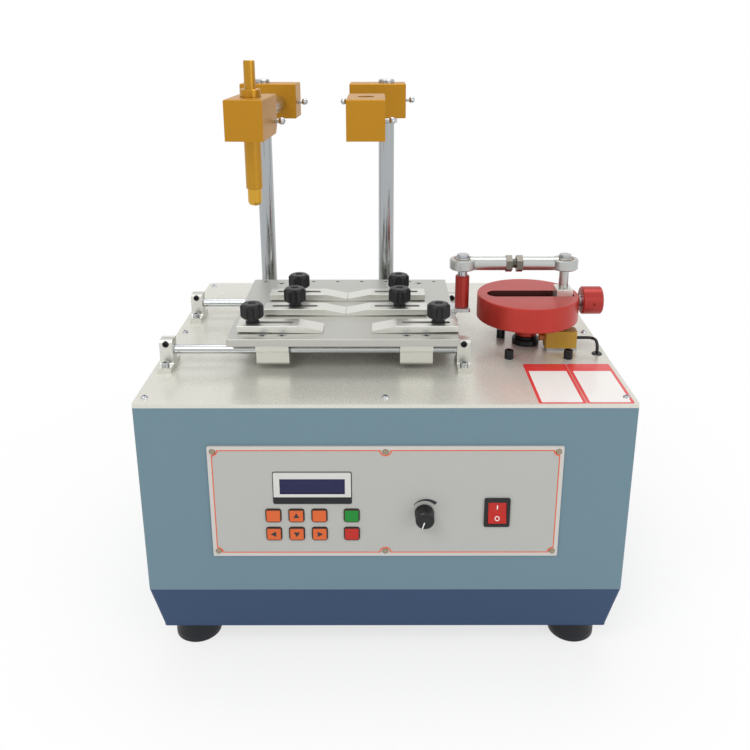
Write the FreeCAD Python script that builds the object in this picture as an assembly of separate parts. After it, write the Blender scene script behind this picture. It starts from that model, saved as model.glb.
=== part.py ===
# Wire marking abrasion tester: a bench instrument with a crank-driven table, six specimen clamps and two load heads.
# Millimetres, +Z up, X to the right seen from the front, Y to the back.
# The origin lies on the bench, in the middle of the overall width and depth.
import FreeCAD
import Part
import math
import os

V = FreeCAD.Vector
X_AXIS = V(1, 0, 0)
Y_AXIS = V(0, 1, 0)
Z_AXIS = V(0, 0, 1)
ORIGIN = V(0, 0, 0)

# Fits
RUN = 0.05
SLIP = 0.1
GAP = 0.3
TOUCH_CLEAR = 0.2

# Housing
WIDTH = 500.0
DEPTH = 400.0
WALL = 2.0
FOOT_H = 32.0
FOOT_R = 25.0
FOOT_TOP_R = 20.0
FOOT_INSET_X = 39.0
FOOT_INSET_Y = 45.0
BASE_T = 2.0
BAND_H = 52.0
BAND_INSET = 10.0
UPPER_H = 211.0
CORNER_R = 3.0
LIP = 14.0
PLATE_T = 4.0
KNOB_REACH = 18.0
INLET_REACH = 3.0

BASE_Z = FOOT_H + BASE_T
KINK_Z = BASE_Z + BAND_H
BODY_TOP = KINK_Z + UPPER_H
PLATE_Z = BODY_TOP + PLATE_T
FRONT = -(DEPTH + KNOB_REACH + INLET_REACH) / 2 + KNOB_REACH
BACK = FRONT + DEPTH

# Top plate screws
PLATE_SCREW_INSET = 9.0
PLATE_SCREW_FRONT = 16.0
SCREW_M4_R = 2.0
BUTTON_HEAD_R = 3.8
BUTTON_HEAD_H = 2.2

# Front panel, placed from the plate's top and the middle of the width
PANEL_W = 357.0
PANEL_H = 127.0
PANEL_T = 2.0
PANEL_DROP = 45.0
PANEL_SCREW_X = 173.0
PANEL_SCREW_IN = 5.9
PANEL_OPEN_MARGIN = 13.0
DISPLAY_X = -74.1
DISPLAY_DROP = 91.7
DISPLAY_W = 78.5
DISPLAY_H = 35.3
WINDOW_W = 65.6
WINDOW_H = 16.9
WINDOW_UP = 2.3
BEZEL_T = 1.6
BUTTON_W = 16.0
BUTTON_H = 15.0
BUTTON_R = 3.0
BUTTON_PROUD = 1.8
BUTTON_TRAVEL = 1.5
BUTTON_FLANGE = 1.0
BUTTON_COLS = (-114.5, -91.0, -67.5)
BUTTON_ROWS = (123.4, 144.8)
RUN_COL = -34.5
SPEED_X = 39.8
SPEED_DROP = 120.6
SPEED_R = 10.0
SPEED_FLUTES = 16
POT_SHAFT_R = 3.0
ROCKER_X = 114.0
ROCKER_DROP = 120.0
ROCKER_BEZEL_W = 26.5
ROCKER_BEZEL_H = 33.0
ROCKER_W = 18.5
ROCKER_H = 22.7
ROCKER_TILT = 8.0
BOARD_GAP = 9.0
BOARD_T = 1.6

# Guide rails and their supports, placed from the front edge of the housing and the plate's top
RAIL_R = 5.0
RAIL_H = 20.0
RAIL_FRONT_Y = 96.0
RAIL_BACK_Y = 253.0
RAIL_LEFT = -242.0
RAIL_RIGHT = 91.5
SUP_L = 14.0
SUP_W = 42.0
SUP_FLANGE = 6.0
SUP_UP_W = 18.0
SUP_TOP = 32.8
SUP_BOLT = 32.0
SUP_SLIT = 1.6
BOLT_M5_R = 2.5
SOCKET_M5_R = 4.25
SOCKET_M5_H = 5.0
SOCKET_M4_R = 3.5
SOCKET_M4_H = 4.0

# Table and its bearing blocks
TABLE_LEFT = -167.0
TABLE_W = 246.0
TABLE_Y = 70.0
TABLE_D = 214.0
TABLE_T = 8.0
BLOCK_L = 35.0
BLOCK_W = 40.0
BLOCK_BODY_W = 29.0
BLOCK_H = 26.0
BLOCK_RISE = 13.0
BLOCK_FLANGE = 8.0
BLOCK_HOLES_X = 21.0
BLOCK_HOLES_Y = 28.0
BLOCK_LEFT_X = -120.0
BLOCK_RIGHT_X = 33.5
BUSH_R = 9.5
BUSH_L = 29.0
TABLE_Z = PLATE_Z + RAIL_H - BLOCK_RISE + BLOCK_H
TABLE_TOP = TABLE_Z + TABLE_T
TABLE_RIGHT = TABLE_LEFT + TABLE_W

# Specimen clamps: name, side, row, x of the toe and x of the knob
JAW_L = 92.0
JAW_W = 24.0
JAW_H = 8.0
JAW_SLIT = 1.5
JAW_PAD = 8.0
JAW_SLOPE = 27.0
JAW_TOE_T = 2.5
JAW_SLOT_IN = 8.0
JAW_SLOT_L = 52.0
JAW_ROWS = (100.0, 155.0, 208.0)
JAWS = (
    ("left_front", -1, 0, -66.3, -142.8),
    ("right_front", 1, 0, -13.9, 57.5),
    ("left_middle", -1, 1, -44.2, -102.0),
    ("right_middle", 1, 1, -43.8, 17.0),
    ("left_back", -1, 2, -44.2, -102.0),
    ("right_back", 1, 2, -43.8, 17.0),
)
STUD_R = 3.0
SLOT_R = 3.2
STAR_R = 12.5
STAR_H = 16.0
STAR_NECK_R = 7.5
STAR_NECK_H = 5.7
STAR_LOBES = 6

# Crank drive
WHEEL_X = 165.0
WHEEL_Y = 167.0
WHEEL_R = 58.0
WHEEL_T = 28.0
WHEEL_Z = 32.0
HUB_R = 12.5
HUB_H = 21.7
SHAFT_R = 6.0
FLANGE_R = 15.5
FLANGE_H = 10.0
FLANGE_LOW = 6.0
SLOT_W = 22.4
SLOT_DEEP = 18.0
SLOT_IN = -47.0
SLOT_OUT = 51.5
CRANK_R = 40.0
CRANK_L = 18.0
CRANK_TOP = 68.0
SCREW_Z = 52.0
SCREW_R = 4.0
RADIUS_KNOB_R = 16.0
RADIUS_KNOB_L = 23.0
ROD_Z = 96.0
ROD_L = 116.0
EYE_R = 15.0
EYE_T = 12.0
BALL_R = 10.0
BALL_T = 14.0
ROD_PIN_R = 4.0
SPACER_R = 5.4
NECK_R = 7.8
NECK_L = 48.5
NUT_AF = 17.0
NUT_H = 7.0
POST_R = 8.0
POST_TOP = 82.0
BRACKET_LEFT = 60.0
BRACKET_L = 38.0
BRACKET_W = 24.0
BRACKET_T = 4.0
MOTOR_X = 171.5
MOTOR_Y = 151.0
MOTOR_SCREW_HALF = 33.0
MOTOR_HEAD_R = 5.0
MOTOR_HEAD_H = 10.0

# Columns and load heads
COLUMN_R = 10.0
COLUMN_Y = 330.0
COLUMN_LEFT_X = -154.0
COLUMN_RIGHT_X = 3.0
COLUMN_H = 290.0
SPIGOT_R = 6.0
HEAD_H = 42.0
ARM_Z = 262.0
CLAMP_LOW = 243.5
NOSE_LOW = 241.0
CLAMP_D = 40.0
CLAMP_OUT = 24.0
CLAMP_IN = 23.0
ARM_OFFSET = 23.0
ARM_R = 10.0
ARM_BACK = 10.0
ARM_SEAT = 25.0
NOSE_W = 40.0
NOSE_D = 80.0
NOSE_Y = 113.0
NOSE_CHAMFER = 8.0
NOSE_BORE_R = 9.0
NOSE_BORE_IN = 40.0
LEFT_TURN = 3.5
COLLAR_R = 14.0
COLLAR_H = 7.0
PIN_COLLAR_R = 11.0
PIN_COLLAR_H = 7.7
PIN_DOWN = 55.5
LOAD_R = 6.0
LOAD_UP = 29.0
TIP_R = 7.5
TIP_H = 18.5
BALL_END_R = 4.0
THUMB_R = 2.5
THUMB_OUT = 8.0

# Sensor and its cable
SENSOR_X = (183.0, 219.0)
SENSOR_Y = (140.0, 156.0)
SENSOR_LOW = 3.0
SENSOR_H = 23.0
NOSE_R = 4.0
CABLE_R = 1.75
CABLE_BEND = 7.5
CABLE_ROUTE = (
    (219.0, 148.0, 13.0),
    (240.0, 148.0, 13.0),
    (240.0, 131.0, 13.0),
    (240.0, 131.0, -6.5),
)


def box(x0, x1, y0, y1, z0, z1):
    """A block between two corners."""
    return Part.makeBox(x1 - x0, y1 - y0, z1 - z0, V(x0, y0, z0))


def disc(radius, height, x, y, z, axis=Z_AXIS):
    """A round bar that starts at x, y, z and runs along axis."""
    return Part.makeCylinder(radius, height, V(x, y, z), axis)


def prism(points, along):
    """A closed outline pushed along a vector."""
    wire = Part.makePolygon([V(*p) for p in points] + [V(*points[0])])
    return Part.Face(wire).extrude(along)


def soften(shape, radius, chosen):
    """Rounds the edges that chosen picks."""
    return shape.makeFillet(radius, [e for e in shape.Edges if chosen(e)])


def runs_along(axis):
    """Picks straight edges that lie along an axis."""
    def chosen(edge):
        if edge.Curve.TypeId != "Part::GeomLine":
            return False
        return edge.tangentAt(edge.FirstParameter).cross(axis).Length < 1e-6
    return chosen


def join(shapes):
    """One solid from overlapping shapes."""
    return shapes[0].multiFuse(shapes[1:]).removeSplitter()


def obround(x0, x1, y, radius, z, height):
    """A slot shape with round ends, from x0 to x1 over all."""
    middle = box(x0 + radius, x1 - radius, y - radius, y + radius, z, z + height)
    ends = [disc(radius, height, x, y, z) for x in (x0 + radius, x1 - radius)]
    return join([middle] + ends)


def hexagon(across, height, x, y, z, axis=Z_AXIS):
    """A hexagon bar that starts at x, y, z and runs along axis."""
    radius = across / math.sqrt(3)
    corners = [V(radius * math.cos(k * math.pi / 3), radius * math.sin(k * math.pi / 3), 0) for k in range(6)]
    bar = Part.Face(Part.makePolygon(corners + corners[:1])).extrude(V(0, 0, height))
    bar.Placement = FreeCAD.Placement(V(x, y, z), FreeCAD.Rotation(Z_AXIS, axis))
    return bar


def turned(profile, x, y, z, axis=Z_AXIS):
    """A turned piece: profile is a closed list of (radius, height) about the line through x, y, z along axis."""
    wire = Part.makePolygon([V(r, 0, h) for r, h in profile] + [V(profile[0][0], 0, profile[0][1])])
    solid = Part.Face(wire).revolve(ORIGIN, Z_AXIS, 360)
    solid.Placement = FreeCAD.Placement(V(x, y, z), FreeCAD.Rotation(Z_AXIS, axis))
    return solid


def socket_screw(head_r, head_h, shank_r, shank_l, x, y, z, out=Z_AXIS):
    """A cylinder-head screw whose head sits on x, y, z and stands along out."""
    profile = [
        (0, -shank_l), (shank_r, -shank_l), (shank_r, 0), (head_r, 0), (head_r, head_h - 0.4),
        (head_r - 0.4, head_h), (head_r * 0.55, head_h), (head_r * 0.55, head_h * 0.45), (0, head_h * 0.45),
    ]
    return turned(profile, x, y, z, out)


def save(name, shapes):
    """Writes one sub-part, with one or more separate solids."""
    shape = shapes[0] if len(shapes) == 1 else Part.makeCompound(shapes)
    shape.exportStep("parts/" + name + ".step")


def at_front(y):
    """A distance behind the housing's front face."""
    return FRONT + y


def on_plate(z):
    """A height above the top plate."""
    return PLATE_Z + z


def below_top(drop):
    """A height below the top plate's upper face."""
    return PLATE_Z - drop


def band_and_box(inset, z_low, z_high):
    """The housing's outer form, narrowed by inset on every side: a tapered band under an upright box."""
    def ring(grow, z):
        half_w = WIDTH / 2 - grow
        y0 = FRONT + grow
        y1 = BACK - grow
        corners = [V(-half_w, y0, z), V(half_w, y0, z), V(half_w, y1, z), V(-half_w, y1, z)]
        return Part.makePolygon(corners + corners[:1])
    band = Part.makeLoft([ring(BAND_INSET + inset, z_low), ring(inset, KINK_Z)], True)
    upper = box(-WIDTH / 2 + inset, WIDTH / 2 - inset, FRONT + inset, BACK - inset, KINK_Z, z_high)
    return band.fuse(upper).removeSplitter()


def plate_screw_places():
    x = WIDTH / 2 - PLATE_SCREW_INSET
    y_front = at_front(PLATE_SCREW_FRONT)
    y_back = BACK - PLATE_SCREW_FRONT
    y_mid = (y_front + y_back) / 2
    corners = [(s * x, y) for s in (-1, 1) for y in (y_front, y_mid, y_back)]
    return corners + [(0, y_front), (0, y_back)]


def support_places():
    """The left face and the rail's y of each rail support."""
    xs = (RAIL_LEFT, RAIL_RIGHT - SUP_L)
    return [(x, at_front(y)) for y in (RAIL_FRONT_Y, RAIL_BACK_Y) for x in xs]


def motor_screw_places():
    half = MOTOR_SCREW_HALF
    return [(MOTOR_X + sx * half, at_front(MOTOR_Y) + sy * half) for sx in (-1, 1) for sy in (-1, 1)]


def column_places():
    """Side, x, y, and the way towards the other column."""
    y = at_front(COLUMN_Y)
    return [("left", COLUMN_LEFT_X, y, 1), ("right", COLUMN_RIGHT_X, y, -1)]


# Housing, base and feet
def make_housing():
    outer = band_and_box(0, BASE_Z, BODY_TOP)
    outer = soften(outer, CORNER_R, lambda e: abs(e.tangentAt(e.FirstParameter).z) > 0.5)
    inner = band_and_box(WALL, BASE_Z, BODY_TOP)
    shell = outer.cut(inner)
    lip_outer = box(-WIDTH / 2 + 1, WIDTH / 2 - 1, FRONT + 1, BACK - 1, BODY_TOP - WALL, BODY_TOP)
    lip_inner = box(-WIDTH / 2 + LIP, WIDTH / 2 - LIP, FRONT + LIP, BACK - LIP, BODY_TOP - WALL, BODY_TOP)
    lip = soften(lip_outer, CORNER_R - 1, runs_along(Z_AXIS)).cut(lip_inner)
    shell = join([shell, lip])
    cuts = [disc(SCREW_M4_R, 3 * WALL, x, y, BODY_TOP - 2 * WALL) for x, y in plate_screw_places()]
    end = CABLE_ROUTE[-1]
    cuts.append(disc(GROMMET_R + 2.5, 3 * WALL, end[0], at_front(end[1]), BODY_TOP - 2 * WALL))
    half = PANEL_W / 2 - PANEL_OPEN_MARGIN
    panel_top = below_top(PANEL_DROP) - PANEL_OPEN_MARGIN
    panel_low = below_top(PANEL_DROP + PANEL_H) + PANEL_OPEN_MARGIN
    cuts.append(box(-half, half, FRONT - 1, FRONT + WALL + 1, panel_low, panel_top))
    for x, z in panel_screw_places():
        cuts.append(disc(1.5, WALL + 2, x, FRONT - 1, z, Y_AXIS))
    cuts.append(box(INLET_X - INLET_W / 2, INLET_X + INLET_W / 2, BACK - WALL - 1, BACK + 1,
                    INLET_Z - INLET_H / 2, INLET_Z + INLET_H / 2))
    for k in range(VENTS):
        z = VENT_Z + k * VENT_PITCH
        cuts.append(box(VENT_X - VENT_L / 2, VENT_X + VENT_L / 2, BACK - WALL - 1, BACK + 1, z, z + VENT_H))
    return shell.cut(cuts)


INLET_X = 170.0
INLET_Z = 110.0
INLET_W = 28.0
INLET_H = 21.0
INLET_FLANGE_W = 50.0
INLET_FLANGE_H = 24.0
INLET_DEEP = 18.0
VENTS = 9
VENT_X = -120.0
VENT_Z = 150.0
VENT_PITCH = 9.0
VENT_L = 110.0
VENT_H = 3.5


def foot_places():
    x = WIDTH / 2 - FOOT_INSET_X
    return [(sx * x, y) for sx in (-1, 1) for y in (at_front(FOOT_INSET_Y), BACK - FOOT_INSET_Y)]


def make_base_plate():
    inset = BAND_INSET
    plate = box(-WIDTH / 2 + inset, WIDTH / 2 - inset, FRONT + inset, BACK - inset, FOOT_H, BASE_Z)
    plate = soften(plate, CORNER_R, runs_along(Z_AXIS))
    return plate.cut([disc(BOLT_M5_R, 4, x, y, FOOT_H - 1) for x, y in foot_places()])


def make_foot(x, y):
    profile = [
        (BOLT_M5_R, 8), (7, 8), (7, 3), (12, 0), (FOOT_R - 1.5, 0), (FOOT_R, 1.5), (FOOT_R, 7),
        (FOOT_TOP_R, FOOT_H - 3), (FOOT_TOP_R - 1, FOOT_H), (BOLT_M5_R, FOOT_H),
    ]
    return turned(profile, x, y, 0)


def make_top_plate():
    plate = box(-WIDTH / 2, WIDTH / 2, FRONT, BACK, BODY_TOP, PLATE_Z)
    plate = soften(plate, CORNER_R, runs_along(Z_AXIS))
    low = BODY_TOP - 1
    deep = PLATE_T + 2
    cuts = [disc(SCREW_M4_R, deep, x, y, low) for x, y in plate_screw_places()]
    for x, y in support_places():
        for side in (-1, 1):
            cuts.append(disc(BOLT_M5_R, deep, x + SUP_L / 2, y + side * SUP_BOLT / 2, low))
    cuts += [disc(BOLT_M5_R, deep, x, y, low) for x, y in motor_screw_places()]
    cuts += [disc(SPIGOT_R, deep, x, y, low) for _, x, y, _ in column_places()]
    cuts.append(disc(BOSS_SPIGOT_R, deep, WHEEL_X, at_front(WHEEL_Y), low))
    end = CABLE_ROUTE[-1]
    cuts.append(disc(GROMMET_R, deep, end[0], at_front(end[1]), low))
    x, y = sensor_screw_place()
    cuts.append(disc(SCREW_M4_R, deep, x, y, low))
    return plate.cut(cuts)


GROMMET_R = 4.0
BOSS_SPIGOT_R = 11.0


# Front panel and its controls
def panel_screw_places():
    high = below_top(PANEL_DROP + PANEL_SCREW_IN)
    low = below_top(PANEL_DROP + PANEL_H - PANEL_SCREW_IN)
    return [(x, z) for x in (-PANEL_SCREW_X, 0, PANEL_SCREW_X) for z in (high, low)]


def button_places():
    names = (("button_set", "button_up", "button_clear"), ("button_left", "button_down", "button_right"))
    places = []
    for row, drop in enumerate(BUTTON_ROWS):
        for col, x in enumerate(BUTTON_COLS):
            places.append((names[row][col], x, below_top(drop)))
    places.append(("button_start", RUN_COL, below_top(BUTTON_ROWS[0])))
    places.append(("button_stop", RUN_COL, below_top(BUTTON_ROWS[1])))
    return places


def rounded_block(x, z, w, h, r, y0, y1):
    """A block with rounded corners seen from the front."""
    return soften(box(x - w / 2, x + w / 2, y0, y1, z - h / 2, z + h / 2), r, runs_along(Y_AXIS))


def make_front_panel():
    y0 = FRONT - PANEL_T
    high = below_top(PANEL_DROP)
    panel = box(-PANEL_W / 2, PANEL_W / 2, y0, FRONT, high - PANEL_H, high)
    panel = soften(panel, 1.5, runs_along(Y_AXIS))
    cuts = [disc(1.5, PANEL_T + 2, x, y0 - 1, z, Y_AXIS) for x, z in panel_screw_places()]
    for _, x, z in button_places():
        cuts.append(rounded_block(x, z, BUTTON_W + 2 * GAP, BUTTON_H + 2 * GAP, BUTTON_R, y0 - 1, FRONT + 1))
    z = below_top(DISPLAY_DROP) + WINDOW_UP
    cuts.append(rounded_block(DISPLAY_X, z, WINDOW_W, WINDOW_H, 0.8, y0 - 1, FRONT + 1))
    cuts.append(disc(POT_NECK_R, PANEL_T + 2, SPEED_X, y0 - 1, below_top(SPEED_DROP), Y_AXIS))
    z = below_top(ROCKER_DROP)
    cuts.append(box(ROCKER_X - ROCKER_W / 2 - 2, ROCKER_X + ROCKER_W / 2 + 2, y0 - 1, FRONT + 1,
                    z - ROCKER_H / 2 - 3, z + ROCKER_H / 2 + 3))
    return panel.cut(cuts)


POT_NECK_R = 4.0
POT_BODY_R = 12.0


def make_display_bezel():
    z = below_top(DISPLAY_DROP)
    y1 = FRONT - PANEL_T
    frame = rounded_block(DISPLAY_X, z, DISPLAY_W, DISPLAY_H, 1.5, y1 - BEZEL_T, y1)
    frame = soften(frame, 0.5, lambda e: abs(e.CenterOfMass.y - (y1 - BEZEL_T)) < 1e-6)
    opening = rounded_block(DISPLAY_X, z + WINDOW_UP, WINDOW_W, WINDOW_H, 0.8, y1 - 5, y1 + 1)
    return frame.cut(opening)


def make_display_window():
    z = below_top(DISPLAY_DROP) + WINDOW_UP
    y1 = FRONT - PANEL_T
    return rounded_block(DISPLAY_X, z, WINDOW_W, WINDOW_H, 0.8, y1 - BEZEL_T + 0.8, FRONT + BOARD_GAP)


def make_button(x, z):
    """A cap through the panel, a flange behind it that keeps it in, and a stem towards its switch."""
    y0 = FRONT - PANEL_T - BUTTON_PROUD
    y1 = FRONT + GAP
    y2 = y1 + BUTTON_FLANGE
    cap = rounded_block(x, z, BUTTON_W, BUTTON_H, BUTTON_R - GAP, y0, y2)
    cap = soften(cap, 0.6, lambda e: abs(e.BoundBox.YMax - y0) < 1e-6)
    grow = 2 * BUTTON_FLANGE
    flange = rounded_block(x, z, BUTTON_W + grow, BUTTON_H + grow, BUTTON_R, y1, y2)
    stem = disc(2.0, FRONT + BOARD_GAP - SWITCH_H - BUTTON_TRAVEL - 0.2 - y1, x, y1, z, Y_AXIS)
    return join([cap, flange, stem])


SWITCH_H = 2.3


def make_control_board():
    z_mid = below_top((BUTTON_ROWS[0] + BUTTON_ROWS[1]) / 2 - 10)
    y0 = FRONT + BOARD_GAP
    board = box(DISPLAY_X - 60, RUN_COL + 20, y0, y0 + BOARD_T, z_mid - 40, z_mid + 45)
    switches = [box(x - 3, x + 3, y0 - SWITCH_H, y0, z - 3, z + 3) for _, x, z in button_places()]
    posts = []
    for x in (DISPLAY_X - 56, RUN_COL + 16):
        for z in (z_mid - 30, z_mid + 41):
            posts.append(disc(2.5, BOARD_GAP, x, FRONT, z, Y_AXIS))
    return join([board] + switches + posts)


def make_speed_knob():
    y0 = FRONT - KNOB_REACH
    y1 = FRONT - PANEL_T - GAP
    z = below_top(SPEED_DROP)
    profile = [(0, 0), (SPEED_R - 1.5, 0), (SPEED_R - 0.5, 1), (SPEED_R, y1 - y0), (0, y1 - y0)]
    knob = turned(profile, SPEED_X, y0, z, Y_AXIS)
    flutes = []
    for k in range(SPEED_FLUTES):
        a = 2 * math.pi * k / SPEED_FLUTES
        x = SPEED_X + (SPEED_R + 0.35) * math.cos(a)
        flutes.append(disc(1.0, y1 - y0 - 3, x, y0 - 0.01, z + (SPEED_R + 0.35) * math.sin(a), Y_AXIS))
    bore = disc(POT_SHAFT_R, KNOB_REACH, SPEED_X, y0 + 4, z, Y_AXIS)
    return knob.cut(flutes + [bore])


def make_pot_shaft():
    y0 = FRONT - KNOB_REACH + 4
    return disc(POT_SHAFT_R, FRONT + 12 - y0, SPEED_X, y0, below_top(SPEED_DROP), Y_AXIS)


def make_potentiometer():
    z = below_top(SPEED_DROP)
    neck = disc(POT_NECK_R, PANEL_T + 4, SPEED_X, FRONT - PANEL_T, z, Y_AXIS)
    body = disc(POT_BODY_R, 12, SPEED_X, FRONT + 4, z, Y_AXIS)
    nut = hexagon(12.0, 4.0, SPEED_X, FRONT, z, Y_AXIS)
    bore = disc(POT_SHAFT_R + RUN, 18, SPEED_X, FRONT - PANEL_T - 1, z, Y_AXIS)
    return join([neck, body, nut]).cut(bore)


def rocker_pivot():
    return V(ROCKER_X, FRONT - PANEL_T + 2.0, below_top(ROCKER_DROP))


def make_rocker_bezel():
    z = below_top(ROCKER_DROP)
    y1 = FRONT - PANEL_T
    frame = rounded_block(ROCKER_X, z, ROCKER_BEZEL_W, ROCKER_BEZEL_H, 2.0, y1 - 2.2, y1)
    frame = soften(frame, 0.8, lambda e: abs(e.BoundBox.YMax - (y1 - 2.2)) < 1e-6)
    can = box(ROCKER_X - ROCKER_W / 2 - 2, ROCKER_X + ROCKER_W / 2 + 2, y1, FRONT + 16,
              z - ROCKER_H / 2 - 3, z + ROCKER_H / 2 + 3)
    pocket = box(ROCKER_X - ROCKER_W / 2 - GAP, ROCKER_X + ROCKER_W / 2 + GAP, y1 - 4, FRONT + 10,
                 z - ROCKER_H / 2 - 1, z + ROCKER_H / 2 + 1)
    pivot = rocker_pivot()
    axle = disc(1.5 + RUN, ROCKER_W + 3, ROCKER_X - ROCKER_W / 2 - 1.5, pivot.y, pivot.z, X_AXIS)
    return join([frame, can]).cut([pocket, axle])


def make_rocker():
    pivot = rocker_pivot()
    half = ROCKER_H / 2
    face = -5.0
    dip = half * math.tan(math.radians(ROCKER_TILT))
    outline = [(0, face + dip), (half, face), (half - 1.2, 3), (3, 5), (-3, 5), (-half + 1.2, 3), (-half, face)]
    paddle = prism([(-ROCKER_W / 2, y, z) for z, y in outline], V(ROCKER_W, 0, 0))
    axle = disc(1.5, ROCKER_W + 2, -ROCKER_W / 2 - 1, 0, 0, X_AXIS)
    paddle = join([paddle, axle])
    paddle.rotate(ORIGIN, X_AXIS, -ROCKER_TILT)
    paddle.translate(pivot)
    return paddle


# Back of the housing and the inside
def make_power_inlet():
    y = BACK
    flange = rounded_block(INLET_X, INLET_Z, INLET_FLANGE_W, INLET_FLANGE_H, 3.0, y, y + INLET_REACH)
    body = rounded_block(INLET_X, INLET_Z, INLET_W, INLET_H, 3.0, y - INLET_DEEP, y)
    socket = rounded_block(INLET_X, INLET_Z, INLET_W - 4, INLET_H - 4.5, 2.0, y - INLET_DEEP + 3, y + 5)
    pins = [box(INLET_X + dx - 2, INLET_X + dx + 2, y - INLET_DEEP + 2, y - 2, INLET_Z + dz - 1, INLET_Z + dz + 1)
            for dx, dz in ((-7, -2), (0, 2), (7, -2))]
    return join([join([flange, body]).cut(socket)] + pins)


def make_inlet_screws():
    return [turned([(0, -8), (1.5, -8), (1.5, 0), (3, 0), (2, 1.2), (0, 1.6)], INLET_X + s * 20, BACK + 1.2,
                   INLET_Z, Y_AXIS) for s in (-1, 1)]


def make_power_supply():
    x0 = -200.0
    y0 = BACK - 150
    case = box(x0, x0 + 110, y0, y0 + 98, BASE_Z, BASE_Z + 40)
    grooves = [box(x0 + 12 + 10 * k, x0 + 16 + 10 * k, y0 + 15, y0 + 83, BASE_Z + 38.5, BASE_Z + 41) for k in range(9)]
    return case.cut(grooves)


def make_motor():
    """Gear motor under the top plate. Its boss comes up through the plate and carries the off-centre shaft."""
    x = MOTOR_X
    y = at_front(MOTOR_Y)
    top = BODY_TOP
    gearbox = box(x - 41, x + 41, y - 41, y + 41, top - 40, top)
    gearbox = soften(gearbox, 6.0, runs_along(Z_AXIS))
    can = disc(36, 90, x, y, top - 130)
    cap = disc(30, 8, x, y, top - 138)
    sx = WHEEL_X
    sy = at_front(WHEEL_Y)
    spigot = disc(BOSS_SPIGOT_R, PLATE_T + 1, sx, sy, top - 1)
    boss = turned([(0, 0), (FLANGE_R, 0), (FLANGE_R, FLANGE_LOW), (FLANGE_R - 1, FLANGE_LOW + 1),
                   (FLANGE_R - 3, FLANGE_LOW + 1), (FLANGE_R - 3, FLANGE_H - 0.5), (FLANGE_R - 3.5, FLANGE_H),
                   (0, FLANGE_H)], sx, sy, PLATE_Z)
    bore = disc(SHAFT_R + RUN, 60, sx, sy, top - 30)
    holes = [disc(BOLT_M5_R, 12, hx, hy, top - 10) for hx, hy in motor_screw_places()]
    return join([gearbox, can, cap, spigot, boss]).cut([bore] + holes)


# Rails and supports
def make_support(x, y):
    """Clamping rail support: a flanged foot, an upright with the rail's bore, and a slit that a cross screw closes."""
    z = PLATE_Z
    half = SUP_UP_W / 2
    outline = [
        (-SUP_W / 2, 0), (SUP_W / 2, 0), (SUP_W / 2, SUP_FLANGE), (half, SUP_FLANGE), (half, SUP_TOP - 2),
        (half - 2, SUP_TOP), (2 - half, SUP_TOP), (-half, SUP_TOP - 2), (-half, SUP_FLANGE), (-SUP_W / 2, SUP_FLANGE),
    ]
    body = prism([(x, y + dy, z + dz) for dy, dz in outline], V(SUP_L, 0, 0))
    body = soften(body, 2.5, lambda e: runs_along(X_AXIS)(e) and abs(e.CenterOfMass.z - z - SUP_FLANGE) < 1e-6
                  and abs(abs(e.CenterOfMass.y - y) - half) < 1e-6)
    cuts = [disc(RAIL_R, SUP_L + 2, x - 1, y, z + RAIL_H, X_AXIS)]
    cuts.append(box(x - 1, x + SUP_L + 1, y - SUP_SLIT / 2, y + SUP_SLIT / 2, z + RAIL_H, z + SUP_TOP + 1))
    cuts.append(disc(2.0, SUP_UP_W + 2, x + SUP_L / 2, y - half - 1, z + SUP_TOP - 4, Y_AXIS))
    cuts.append(disc(SOCKET_M4_R, 3.5, x + SUP_L / 2, y - half - 0.5, z + SUP_TOP - 4, Y_AXIS))
    for side in (-1, 1):
        cuts.append(disc(BOLT_M5_R, SUP_FLANGE + 2, x + SUP_L / 2, y + side * SUP_BOLT / 2, z - 1))
    return body.cut(cuts)


def make_rails():
    length = RAIL_RIGHT - RAIL_LEFT
    rails = []
    for y in (RAIL_FRONT_Y, RAIL_BACK_Y):
        bar = disc(RAIL_R, length, RAIL_LEFT, at_front(y), on_plate(RAIL_H), X_AXIS)
        rails.append(bar.makeChamfer(0.6, [e for e in bar.Edges if e.Curve.TypeId == "Part::GeomCircle"]))
    return rails


def make_support_bolts():
    bolts = []
    for x, y in support_places():
        for side in (-1, 1):
            bolts.append(socket_screw(SOCKET_M5_R, SOCKET_M5_H, BOLT_M5_R, PLATE_T + SUP_FLANGE, x + SUP_L / 2,
                                      y + side * SUP_BOLT / 2, on_plate(SUP_FLANGE)))
    return bolts


def make_support_clamp_screws():
    screws = []
    for x, y in support_places():
        seat = y - SUP_UP_W / 2 + 3.0
        screws.append(socket_screw(SOCKET_M4_R, SOCKET_M4_H, 2.0, SUP_UP_W - 4, x + SUP_L / 2, seat,
                                   on_plate(SUP_TOP - 4), V(0, -1, 0)))
    return screws


# Table
def block_places():
    return [(x, at_front(y)) for y in (RAIL_FRONT_Y, RAIL_BACK_Y) for x in (BLOCK_LEFT_X, BLOCK_RIGHT_X)]


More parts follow.
